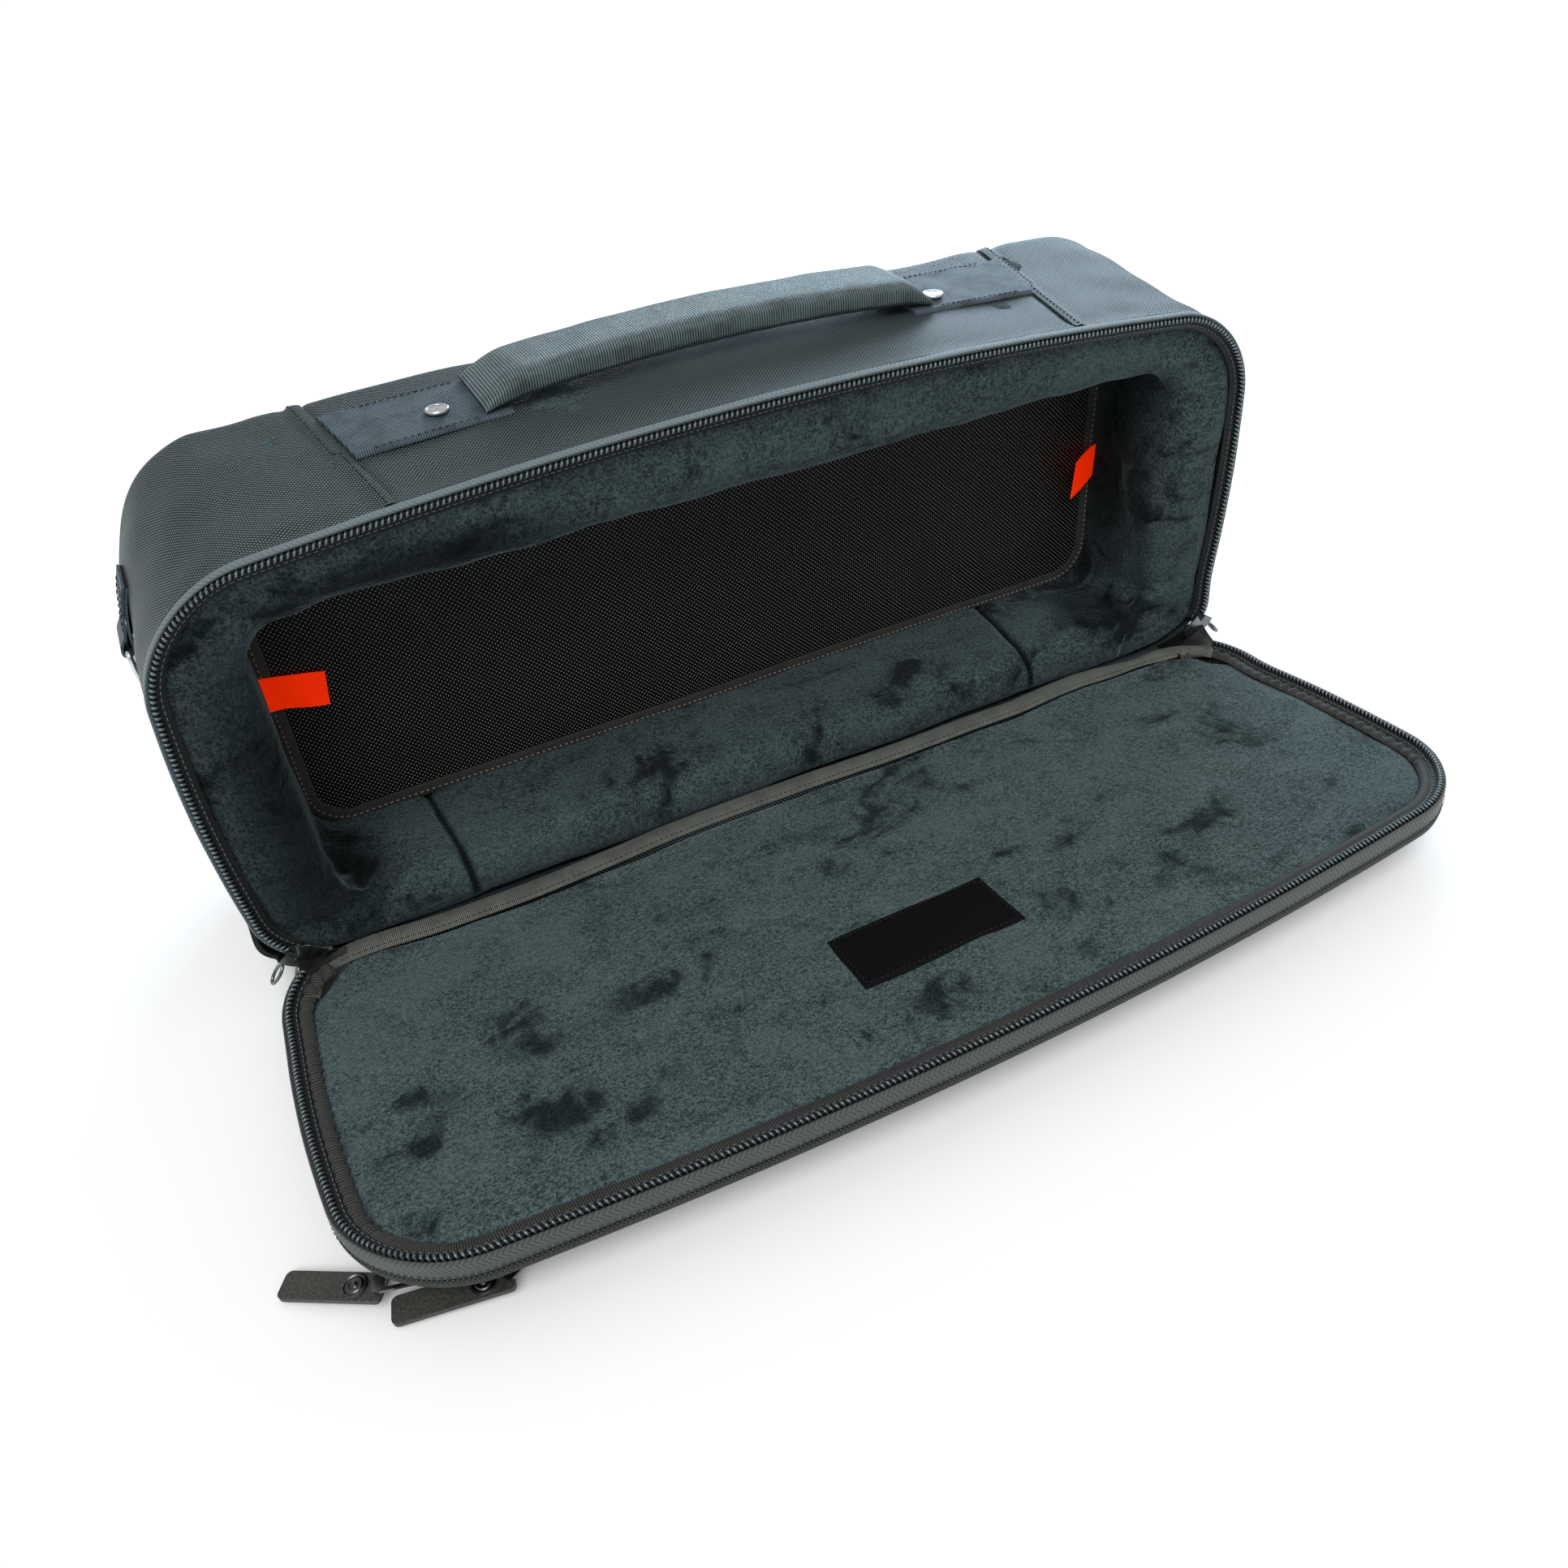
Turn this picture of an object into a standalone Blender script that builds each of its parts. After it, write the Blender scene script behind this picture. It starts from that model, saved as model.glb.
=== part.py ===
"""Padded zip case for a desk-top musical instrument: a soft shell standing on its long side, with its front lid folded down.

Millimetres below, turned into metres on the way out. +X is the viewer's right, +Y goes into the case, +Z is up, the floor is z = 0.
The outline is a rounded rectangle, seen from the front. A place on it is (u, inset, y): u runs once round in eight legs
(right side up, corner, top to the left, corner, left side down, corner, bottom to the right, corner), inset goes inwards
from the outline and y goes from the opening towards the back. The case bulges, so every such place goes through warp().
The lid uses the same outline with (u, inset, n), n being its height over the plane of the zip.
Inside this file y is counted from the opening. The objects themselves stand FRAME_Y further forward, so that the
origin of the frame is the middle of the foot.
"""

import math

import bmesh
import bpy

MM = 0.001
FRAME_Y = 70.0

# outline
HALF_W = 286.0
LOW = 14.0
HIGH = 208.0
R_TOP = 48.0
R_LOW = 38.0
SIDE_BULGE = 7.0
TOP_BULGE = 18.0
RISE_MID = 5.0  # the top climbs towards the back, more so at both ends
RISE_END = 5.2
FOOT_Y = 25.0  # from here back the bottom lies flat on the floor
DEPTH = 128.0
R_BACK = 15.0
CLOTH = 2.0
GAP = 0.3

# seams of the top panel with the end panels
SEAM_FRONT = 172.5
SEAM_BACK = 190.7

# zip
TAPE_W = 10.0
COIL_R = 1.9
COIL_INSET = 4.0
COIL_Y = 2.2
ZIP_END_R = -0.5
ZIP_END_L = 5.5

# room for the instrument
ROOM_X = 250.0
ROOM_LOW = 38.0
ROOM_HIGH = 194.0
PAD_Y0 = 5.0
PAD_Y1 = 117.5
PAD_ROUND = 13.0
DIVIDER_Y = 74.0

# lid
HINGE_Y = -1.5
HINGE_Z = 17.0
TILT = math.radians(7.15)
LID_LOW = 20.0
LID_HIGH = 202.0
LID_D = 18.0

# handle
HANDLE_Y0 = 51.0
HANDLE_Y1 = 97.0
GRIP_X = 118.0
RIVET_AT = {-1: (136.0, 69.7), 1: (125.2, 65.9)}

# end rings
RING_Y = 80.0

COLOURS = {
    "nylon": ((0.055, 0.062, 0.066), 0.62, 0.0),
    "webbing": ((0.10, 0.11, 0.12), 0.5, 0.0),
    "tape": ((0.20, 0.225, 0.22), 0.55, 0.0),
    "coil": ((0.02, 0.02, 0.021), 0.3, 0.0),
    "fleece": ((0.05, 0.062, 0.066), 0.95, 0.0),
    "black_nylon": ((0.012, 0.012, 0.012), 0.6, 0.0),
    "binding": ((0.06, 0.052, 0.045), 0.6, 0.0),
    "satin": ((0.01, 0.01, 0.01), 0.35, 0.0),
    "ribbon": ((0.80, 0.09, 0.02), 0.4, 0.0),
    "steel": ((0.55, 0.55, 0.56), 0.28, 1.0),
    "gunmetal": ((0.16, 0.16, 0.165), 0.35, 1.0),
    "rubber": ((0.10, 0.11, 0.105), 0.55, 0.0),
    "grip": ((0.09, 0.10, 0.11), 0.6, 0.0),
}


def clear_scene():
    for obj in list(bpy.data.objects):
        bpy.data.objects.remove(obj, do_unlink=True)


def material(name, look):
    colour, rough, metal = COLOURS[look]
    made = bpy.data.materials.new(name)
    made.use_nodes = True
    shader = made.node_tree.nodes["Principled BSDF"]
    shader.inputs["Base Color"].default_value = (*colour, 1.0)
    shader.inputs["Roughness"].default_value = rough
    shader.inputs["Metallic"].default_value = metal
    made.diffuse_color = (*colour, 1.0)
    return made


def home(origin):
    return [origin[0] * MM, (origin[1] - FRAME_Y) * MM, origin[2] * MM]


def make(name, look, points, faces, origin=(0.0, 0.0, 0.0), smooth=35.0):
    """One closed object from points in millimetres, its origin at the given place."""
    bm = bmesh.new()
    made = [
        bm.verts.new([(p[i] - origin[i]) * MM for i in range(3)]) for p in points
    ]
    for face in faces:
        bm.faces.new([made[i] for i in face])
    bmesh.ops.recalc_face_normals(bm, faces=bm.faces)
    if bm.calc_volume(signed=True) < 0:
        bmesh.ops.reverse_faces(bm, faces=bm.faces)
    mesh = bpy.data.meshes.new(name)
    bm.to_mesh(mesh)
    bm.free()
    mesh.shade_smooth()
    mesh.set_sharp_from_angle(angle=math.radians(smooth))
    obj = bpy.data.objects.new(name, mesh)
    obj.location = home(origin)
    bpy.context.scene.collection.objects.link(obj)
    mesh.materials.append(material(name, look))
    return obj


def union(name, look, pieces, origin=(0.0, 0.0, 0.0), smooth=35.0):
    """Joins overlapping objects into one closed object."""
    first = pieces[0]
    for other in pieces[1:]:
        joined = first.modifiers.new("join", "BOOLEAN")
        joined.operation = "UNION"
        joined.solver = "EXACT"
        joined.object = other
    bpy.context.view_layer.update()
    graph = bpy.context.evaluated_depsgraph_get()
    mesh = bpy.data.meshes.new_from_object(first.evaluated_get(graph))
    mesh.transform(first.matrix_world)
    for piece in pieces:
        bpy.data.objects.remove(piece, do_unlink=True)
    bm = bmesh.new()
    bm.from_mesh(mesh)
    bmesh.ops.remove_doubles(bm, verts=bm.verts, dist=2e-6)
    bmesh.ops.triangulate(bm, faces=bm.faces)
    start = home(origin)
    for vert in bm.verts:
        for i in range(3):
            vert.co[i] -= start[i]
    bm.to_mesh(mesh)
    bm.free()
    mesh.name = name
    mesh.materials.clear()
    mesh.shade_smooth()
    mesh.set_sharp_from_angle(angle=math.radians(smooth))
    obj = bpy.data.objects.new(name, mesh)
    obj.location = home(origin)
    bpy.context.scene.collection.objects.link(obj)
    mesh.materials.append(material(name, look))
    return obj


def outline(u, low, high):
    """(x, z, nx, nz) on the rounded rectangle."""
    u %= 8.0
    leg, f = int(u), u - int(u)
    xt, xb = HALF_W - R_TOP, HALF_W - R_LOW
    zt, zb = low + high - R_TOP, low + R_LOW
    if leg == 0:
        return HALF_W, zb + f * (zt - zb), 1.0, 0.0
    if leg == 2:
        return xt - 2 * xt * f, low + high, 0.0, 1.0
    if leg == 4:
        return -HALF_W, zt - f * (zt - zb), -1.0, 0.0
    if leg == 6:
        return -xb + 2 * xb * f, low, 0.0, -1.0
    cx, cz, r = {
        1: (xt, zt, R_TOP),
        3: (-xt, zt, R_TOP),
        5: (-xb, zb, R_LOW),
        7: (xb, zb, R_LOW),
    }[leg]
    a = math.radians({1: 0, 3: 90, 5: 180, 7: 270}[leg] + 90 * f)
    return cx + r * math.cos(a), cz + r * math.sin(a), math.cos(a), math.sin(a)


def smoothstep(v):
    v = min(max(v, 0.0), 1.0)
    return v * v * (3 - 2 * v)


def warp(x, y, z):
    t = min(max((z - LOW) / HIGH, 0.0), 1.05)
    s = min(t, 1.0)
    x2 = x * (1 + SIDE_BULGE / HALF_W * math.sin(math.pi * s))
    z2 = z + TOP_BULGE * (1 - (x / HALF_W) ** 2) * t
    z2 -= LOW * (1 - s) ** 2 * smoothstep(y / FOOT_Y)
    climb = RISE_MID + RISE_END * min((x / 190.0) ** 2, 1.6)
    z2 += climb * min(max((y - 10.0) / 108.0, 0.0), 1.0) * smoothstep((t - 0.78) / 0.22)
    return x2, y, z2


def shell(u, inset, y):
    x, z, nx, nz = outline(u, LOW, HIGH)
    return warp(x - inset * nx, y, z - inset * nz)


def lid_frame(x, s, n):
    """A place of the lid: x, distance s from the hinge and height n over the plane of the zip."""
    c, d = math.cos(TILT), math.sin(TILT)
    return x, HINGE_Y - s * c + n * d, HINGE_Z + s * d + n * c


def lid_shell(u, inset, n):
    x, z, nx, nz = outline(u, LID_LOW, LID_HIGH)
    x2, _, z2 = warp(x - inset * nx, -1.0, z - inset * nz)
    return lid_frame(x2, z2 - HINGE_Z, n)


def span(a, b, count):
    return [a + (b - a) * i / (count - 1) for i in range(count)]


def legs(start, end, arc=7, side=5, top=9, low=5):
    """Stations from start to end, close together where the outline bends."""
    per_leg = {0: side, 1: arc, 2: top, 3: arc, 4: side, 5: arc, 6: low, 7: arc}
    found = [start]
    leg = math.floor(start)
    while leg < end:
        count = per_leg[leg % 8]
        for i in range(1, count + 1):
            u = leg + i / count
            if u > start + 0.02 and u < end - 0.02:
                found.append(u)
        leg += 1
    return [*found, end]


def sweep(name, look, stations, outer, inner, place, closed=False, origin=(0, 0, 0)):
    """A band with two skins of equally many points, carried along the stations."""
    m = len(outer)
    ring = [*outer, *reversed(inner)]
    count = len(ring)
    points = [place(u, *p) for u in stations for p in ring]
    faces = []
    rows = len(stations)
    for k in range(rows if closed else rows - 1):
        a, b = k * count, ((k + 1) % rows) * count
        for i in range(count):
            j = (i + 1) % count
            faces.append((a + i, a + j, b + j, b + i))
    if not closed:
        for a in (0, (rows - 1) * count):
            for i in range(m - 1):
                faces.append((a + i, a + i + 1, a + count - 2 - i, a + count - 1 - i))
    return make(name, look, points, faces, origin)


def loft(name, look, rings, origin=(0, 0, 0), smooth=35.0):
    """Closed rings of equally many points, joined in turn, with a flat cap on each end."""
    count = len(rings[0])
    points = [p for ring in rings for p in ring]
    faces = [tuple(range(count)), tuple(reversed(range(len(points) - count, len(points))))]
    for k in range(len(rings) - 1):
        a, b = k * count, (k + 1) * count
        for i in range(count):
            j = (i + 1) % count
            faces.append((a + i, a + j, b + j, b + i))
    return make(name, look, points, faces, origin, smooth)


def tube(name, look, centres, sides, radius, closed, origin=(0, 0, 0), flat=1.0, up=None):
    """A round wire through the centres."""
    rows = len(centres)
    points = []
    for k in range(rows):
        before = centres[(k - 1) % rows] if closed or k else centres[0]
        after = centres[(k + 1) % rows] if closed or k < rows - 1 else centres[-1]
        d = [after[i] - before[i] for i in range(3)]
        size = math.sqrt(sum(v * v for v in d))
        d = [v / size for v in d]
        ref = up or (0.0, 1.0, 0.0)
        a = cross(d, ref)
        size = math.sqrt(sum(v * v for v in a))
        a = [v / size for v in a]
        b = cross(d, a)
        for i in range(sides):
            w = 2 * math.pi * (i + 0.5) / sides
            ca, sa = radius * math.cos(w), radius * flat * math.sin(w)
            points.append([centres[k][j] + a[j] * ca + b[j] * sa for j in range(3)])
    faces = []
    for k in range(rows if closed else rows - 1):
        a, b = k * sides, ((k + 1) % rows) * sides
        for i in range(sides):
            j = (i + 1) % sides
            faces.append((a + i, a + j, b + j, b + i))
    if not closed:
        faces.append(tuple(range(sides)))
        faces.append(tuple(reversed(range((rows - 1) * sides, rows * sides))))
    return make(name, look, points, faces, origin, 60.0)


def cross(a, b):
    return (
        a[1] * b[2] - a[2] * b[1],
        a[2] * b[0] - a[0] * b[2],
        a[0] * b[1] - a[1] * b[0],
    )


def unit(a):
    size = math.sqrt(sum(v * v for v in a))
    return tuple(v / size for v in a)


def plate(name, look, shape, low, high, frame, hole=None, origin=(0, 0, 0), smooth=35.0):
    """A flat piece: an outline in the frame's first two directions, between two heights along the third."""
    base, a, b, c = frame

    def at(p, h):
        return [base[i] + a[i] * p[0] + b[i] * p[1] + c[i] * h for i in range(3)]

    count = len(shape)
    if hole is None:
        return loft(
            name, look, [[at(p, h) for p in shape] for h in (low, high)], origin, smooth
        )
    rings = [[at(p, h) for p in s] for h in (low, high) for s in (shape, hole)]
    points = [p for ring in rings for p in ring]
    faces = []
    for i in range(count):
        j = (i + 1) % count
        lo, li, ho, hi = i, count + i, 2 * count + i, 3 * count + i
        lo2, li2, ho2, hi2 = j, count + j, 2 * count + j, 3 * count + j
        faces += [
            (lo, lo2, li2, li),
            (ho, hi, hi2, ho2),
            (lo, ho, ho2, lo2),
            (li, li2, hi2, hi),
        ]
    return make(name, look, points, faces, origin, smooth)


def rounded(x0, x1, y0, y1, radii, steps=4):
    """A rectangle with its four corners rounded: radii from the corner at (x0, y0), going to x1 first."""
    corners = ((x0, y0, 180), (x1, y0, 270), (x1, y1, 0), (x0, y1, 90))
    found = []
    for (cx, cy, start), r in zip(corners, radii):
        mx = cx + (r if cx == x0 else -r)
        my = cy + (r if cy == y0 else -r)
        for i in range(steps + 1):
            a = math.radians(start + 90 * i / steps)
            found.append((mx + r * math.cos(a), my + r * math.sin(a)))
    return found


def back_arc(r, steps=4):
    """The rounded back edge of a skin that lies r inside the arc's centre distance."""
    return [
        (
            R_BACK - r * math.cos(math.radians(90 * i / steps)),
            DEPTH - R_BACK + r * math.sin(math.radians(90 * i / steps)),
        )
        for i in range(steps + 1)
    ]


def skins(start, bends=()):
    """Outer and inner side of the shell's cloth from y = start to the back panel."""
    outer = [(0.0, start), *[(0.0, y) for y in bends], *back_arc(R_BACK)]
    inner = [(CLOTH, start), *[(CLOTH, y) for y in bends], *back_arc(R_BACK - CLOTH)]
    return outer, inner


def seam_x(y):
    f = min(max((y - TAPE_W) / (DEPTH - TAPE_W), 0.0), 1.0)
    return SEAM_FRONT + (SEAM_BACK - SEAM_FRONT) * f


def seam_u(y, gap):
    """The right-hand seam of the top as a place on leg 2, a little to one side of it."""
    top = HALF_W - R_TOP
    return 2.0 + (top - seam_x(y) - gap) / (2 * top)


TOP_BENDS = (36.0, 60.0, 75.0, 97.0)
FOOT_BENDS = (14.0, 18.0, 22.0, FOOT_Y)
LOW_END_R = -0.78  # where an end panel stops, low on the corner


def build_shell():
    outer, inner = skins(TAPE_W + GAP, TOP_BENDS)

    def top_place(f, inset, y):
        right = seam_u(y, -0.2)
        left = 5.0 - right
        return shell(right + (left - right) * f, inset, y)

    sweep("top_panel", "nylon", span(0, 1, 13), outer, inner, top_place)

    outer, inner = skins(TAPE_W + GAP, FOOT_BENDS + TOP_BENDS)
    ref = 2.14

    def end_place(side):
        def place(u, inset, y):
            if u > 2.0:
                u = 2.0 + (u - 2.0) * (seam_u(y, 0.2) - 2.0) / (ref - 2.0)
            x, y2, z = shell(u, inset, y)
            return side * x, y2, z

        return place

    stations = legs(LOW_END_R, 2.0, arc=8, side=6) + [2.07, ref]
    sweep("right_end_panel", "nylon", stations, outer, inner, end_place(1))
    sweep("left_end_panel", "nylon", stations, outer, inner, end_place(-1))

    low = legs(5.785, 7.215, arc=8, low=4)
    sweep("bottom_panel", "nylon", low, outer, inner, shell)

    ring = legs(0.0, 8.0, arc=8, side=4, top=10, low=4)[:-1]
    loft(
        "back_panel",
        "nylon",
        [
            [shell(u, R_BACK + 0.35, DEPTH - CLOTH) for u in ring],
            [shell(u, R_BACK + 0.35, DEPTH) for u in ring],
        ],
    )


def build_zip():
    run = legs(ZIP_END_R, ZIP_END_L, arc=9, side=6, top=12)
    band = [(0.3, 0.3), (0.3, TAPE_W)], [(1.8, 0.3), (1.8, TAPE_W)]
    sweep("body_zip_tape", "tape", run, *band, shell)
    tube(
        "body_zip_coil",
        "coil",
        [shell(u, COIL_INSET, COIL_Y) for u in run],
        8,
        COIL_R,
        False,
    )
    low = legs(ZIP_END_L + 0.05, 8.0 + ZIP_END_R - 0.05, arc=8, low=5)
    sweep(
        "hinge_panel",
        "nylon",
        low,
        [(0.3, 0.5), (0.3, 5.0), (0.3, TAPE_W)],
        [(1.8, 0.5), (1.8, 5.0), (1.8, TAPE_W)],
        shell,
    )
    sweep(
        "hinge_binding",
        "binding",
        span(-254.0, 254.0, 9),
        [(18.2, -4.2), (17.9, -1.4), (17.9, 1.6), (18.0, 4.6)],
        [(19.2, -4.2), (19.3, -1.4), (19.3, 1.6), (19.2, 4.6)],
        lambda x, z, y: (x, y, z),
    )
    for side, start, end in (("left", 5.56, 5.84), ("right", 7.16, 7.44)):
        sweep(
            f"zip_end_gusset_{side}",
            "satin",
            span(start, end, 7),
            [(2.3, 0.6), (2.3, 4.6)],
            [(3.4, 0.6), (3.4, 4.6)],
            shell,
        )


def pad_front(y):
    """How far a pad's inner face lies back from the room, where its front edge is rounded."""
    if y >= PAD_Y0 + PAD_ROUND:
        return 0.0
    return PAD_ROUND - math.sqrt(PAD_ROUND**2 - (PAD_Y0 + PAD_ROUND - y) ** 2)


def pad_skin(y):
    """Inset of a pad's outer side, which follows the rounded back edge of the shell."""
    if y <= DEPTH - R_BACK:
        return CLOTH + GAP
    r = R_BACK - CLOTH - 0.6
    return R_BACK - math.sqrt(r * r - (y - DEPTH + R_BACK) ** 2)


PAD_YS = (5.0, 6.2, 8.6, 12.5, 18.0, FOOT_Y, 36.0, 60.0, 75.0, 97.0, 113.0, PAD_Y1)


def u_at_height(z_base):
    """Place on the right side, or on its corners, with this height before the bulge."""
    zt, zb = LOW + HIGH - R_TOP, LOW + R_LOW
    if z_base > zt:
        return 1.0 + math.degrees(math.asin((z_base - zt) / R_TOP)) / 90.0
    if z_base < zb:
        return -math.degrees(math.asin((zb - z_base) / R_LOW)) / 90.0
    return (z_base - zb) / (zt - zb)


def cut_by_height(y, height):
    """Place on the right side where the pad's outer side has this height in the case."""
    a, b = -0.95, 1.95
    for _ in range(40):
        mid = (a + b) / 2
        if shell(mid, pad_skin(y), y)[2] < height:
            a = mid
        else:
            b = mid
    return (a + b) / 2


def build_pads():
    for side, name in ((1, "right_side_pad"), (-1, "left_side_pad")):
        rings = []
        for y in PAD_YS:
            lo, hi = cut_by_height(y, ROOM_LOW), cut_by_height(y, ROOM_HIGH - 0.3)
            skin = [shell(u, pad_skin(y), y) for u in span(lo, hi, 11)]
            x = ROOM_X + pad_front(y)
            ring = [*skin, (x, y, ROOM_HIGH - 0.3), (x, y, 116.0), (x, y, ROOM_LOW)]
            rings.append([(side * p[0], p[1], p[2]) for p in ring])
        loft(name, "fleece", rings)

    rings = []
    for y in PAD_YS:
        hi = cut_by_height(y, ROOM_HIGH)
        stations = [*span(hi, 2.0, 6), *span(2.0, 3.0, 11)[1:-1], *span(3.0, 5.0 - hi, 6)]
        skin = [shell(u, pad_skin(y), y) for u in stations]
        x = skin[-1][0]
        z = ROOM_HIGH + pad_front(y)
        z = min(z, ROOM_HIGH + 13.0)
        low = []
        for i, f in enumerate(span(0, 1, 9)):
            px = x + (skin[0][0] - x) * f
            if i in (0, 8):
                continue
            lift = z if abs(px) < ROOM_X else ROOM_HIGH
            low.append((px, y, lift))
        rings.append([*skin, *low])
    loft("top_pad", "fleece", rings)

    def seam(side, y):
        f = min(max((y - 3.5) / 71.5, 0.0), 1.6)
        return -(184.2 + 4.5 * f) if side < 0 else 163.0 + 6.0 * f

    for name, left, right in (
        ("floor_pad_left", None, -1),
        ("floor_pad_centre", -1, 1),
        ("floor_pad_right", 1, None),
    ):
        rings = []
        for y in PAD_YS:
            top = ROOM_LOW - 0.4
            drop = pad_front(y) * 1.25
            skin_in = pad_skin(y)
            xb = HALF_W - R_LOW

            def u_of(x):
                return 6.0 + (x + xb) / (2 * xb)

            lo_u = 5.0 - cut_by_height(y, ROOM_LOW - 0.4)
            hi_u = 8.0 + cut_by_height(y, ROOM_LOW - 0.4)
            a = lo_u if left is None else u_of(seam(left, y) + 0.3)
            b = hi_u if right is None else u_of(seam(right, y) - 0.3)
            if left is None:
                stations = [*span(a, 6.0, 6), *span(6.0, b, 3)[1:]]
            elif right is None:
                stations = [*span(a, 7.0, 3), *span(7.0, b, 6)[1:]]
            else:
                stations = span(a, b, 8)
            skin = [shell(u, skin_in, y) for u in stations]
            xa, xz = skin[0][0], skin[-1][0]
            low = []
            count = 6
            for i in range(count):
                f = i / (count - 1)
                px = xz + (xa - xz) * f
                if left is None and i == count - 1 or right is None and i == 0:
                    continue
                low.append((px, y, top - drop))
            rings.append([*skin, *low])
        loft(name, "fleece", rings)

    ring_u = legs(0.0, 8.0, arc=6, side=3, top=8, low=4)[:-1]
    y0 = PAD_Y1 + GAP
    loft(
        "back_pad",
        "fleece",
        [
            [shell(u, pad_skin(y) + 0.1, y) for u in ring_u]
            for y in (y0, 120.5, 123.3, DEPTH - CLOTH - 0.7)
        ],
    )


def build_divider():
    hinge = (0.0, DIVIDER_Y, ROOM_HIGH - 0.6)
    edge = ROOM_X - 0.6
    frame = ((0, 0, 0), (1, 0, 0), (0, 0, 1), (0, 1, 0))
    shape = rounded(-edge, edge, ROOM_LOW + 0.3, hinge[2], (24, 24, 0.4, 0.4), 5)
    plate(
        "divider_panel", "black_nylon", shape, DIVIDER_Y, DIVIDER_Y + 2.6, frame,
        origin=hinge,
    )
    # a U of binding in front of the panel's free edges
    outer = [(edge, hinge[2] - 1.5)]
    inner = [(edge - 7.0, hinge[2] - 1.5)]
    outer += list(reversed(rounded(-edge, edge, ROOM_LOW + 0.3, 200, (24, 24, 1, 1), 6)[:14]))
    inner += list(
        reversed(rounded(-edge + 7, edge - 7, ROOM_LOW + 7.3, 200, (17, 17, 1, 1), 6)[:14])
    )
    outer.append((-edge, hinge[2] - 1.5))
    inner.append((-edge + 7, hinge[2] - 1.5))

    def place(k, which, y):
        p = (outer if which == 0 else inner)[k]
        return p[0], y, p[1]

    sweep(
        "divider_binding",
        "binding",
        range(len(outer)),
        [(0, DIVIDER_Y - 1.2), (0, DIVIDER_Y - 0.3)],
        [(1, DIVIDER_Y - 1.2), (1, DIVIDER_Y - 0.3)],
        place,
        origin=hinge,
    )
    plate(
        "divider_tab_left", "ribbon",
        [(-249.0, 117.3), (-221.0, 113.3), (-218.5, 131.7), (-249.0, 136.0)],
        71.2, 72.4, frame, origin=(-248.6, 71.8, 126.0),
    )
    foot = (248.6, 71.4, 118.0)
    along = unit((-25.0, -14.0, 0.0))
    thick = unit(cross(along, (0, 0, 1)))
    plate(
        "divider_tab_right", "ribbon",
        [(0, -9.4), (31.8, -12.0), (28.4, 9.7), (0, 10.2)],
        -0.6, 0.6, (foot, along, (0, 0, 1), thick), origin=foot,
    )


def top_surface(x, y, lift):
    """A place over the top of the case."""
    top = HALF_W - R_TOP
    return shell(2.0 + (top - x) / (2 * top), -lift, y)


def build_handle():
    for side, name in ((-1, "left"), (1, "right")):
        xs = span(108.0, 176.0, 8)

        def place(x, lift, y, side=side):
            far = x
            if x > 170.0:
                far = seam_x(y) - 2.0
            px, py, pz = top_surface(far, y, lift)
            return side * px, py, pz

        sweep(
            f"handle_strip_{name}",
            "webbing",
            xs,
            [(1.9, HANDLE_Y0), (1.9, 75.0), (1.9, HANDLE_Y1)],
            [(0.3, HANDLE_Y0), (0.3, 75.0), (0.3, HANDLE_Y1)],
            place,
        )
        cx, cy = RIVET_AT[side]
        rows = [(4.4, 0.0), (5.2, 0.0), (5.6, 0.5), (5.6, 1.4), (5.0, 1.9), (1.6, 2.1)]
        rings = []
        for r, h in rows[1:]:
            ring = []
            for i in range(16):
                a = 2 * math.pi * i / 16
                px, py, pz = top_surface(cx + r * math.cos(a), cy + r * math.sin(a), 2.2 + h)
                ring.append((side * px, py, pz))
            rings.append(ring)
        loft(f"handle_rivet_{name}", "steel", rings, smooth=50)

    rings = []
    for x in span(-GRIP_X, GRIP_X, 15):
        f = 1 - (x / GRIP_X) ** 2
        ends = min(1.0, (GRIP_X - abs(x)) / 7.0)
        base = top_surface(x, 75.0, 0)[2]
        lean = (top_surface(x, 97.0, 0)[2] - top_surface(x, 53.0, 0)[2]) / 44.0
        low = base + 2.3 + 3.6 * f
        high = base + 15.0 + 5.0 * f - 2.5 * (1 - ends)
        half = 22.0 - 2.5 * f - 1.0 * (1 - ends)
        mid = 75.0
        r = 5.5
        ring = []
        for cy, cz, start in (
            (mid + half - r, low + 4.0, 270),
            (mid + half - r, high - r, 0),
            (mid - half + r, high - r, 90),
            (mid - half + r, low + 4.0, 180),
        ):
            rr = 4.0 if start in (270, 180) else r
            for i in range(4):
                a = math.radians(start + 30 * i)
                y = cy + r * math.cos(a)
                ring.append((x, y, cz + rr * math.sin(a) + lean * (y - mid)))
        rings.append(ring)
    loft("handle_grip", "grip", rings, smooth=50)


def side_u(sigma):
    """Place on the left side: sigma up along it from the lower end of the top corner."""
    if sigma > 0:
        return 4.0 - sigma / (R_TOP * math.pi / 2)
    return 4.0 - sigma / (HIGH - R_TOP - R_LOW)


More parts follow.
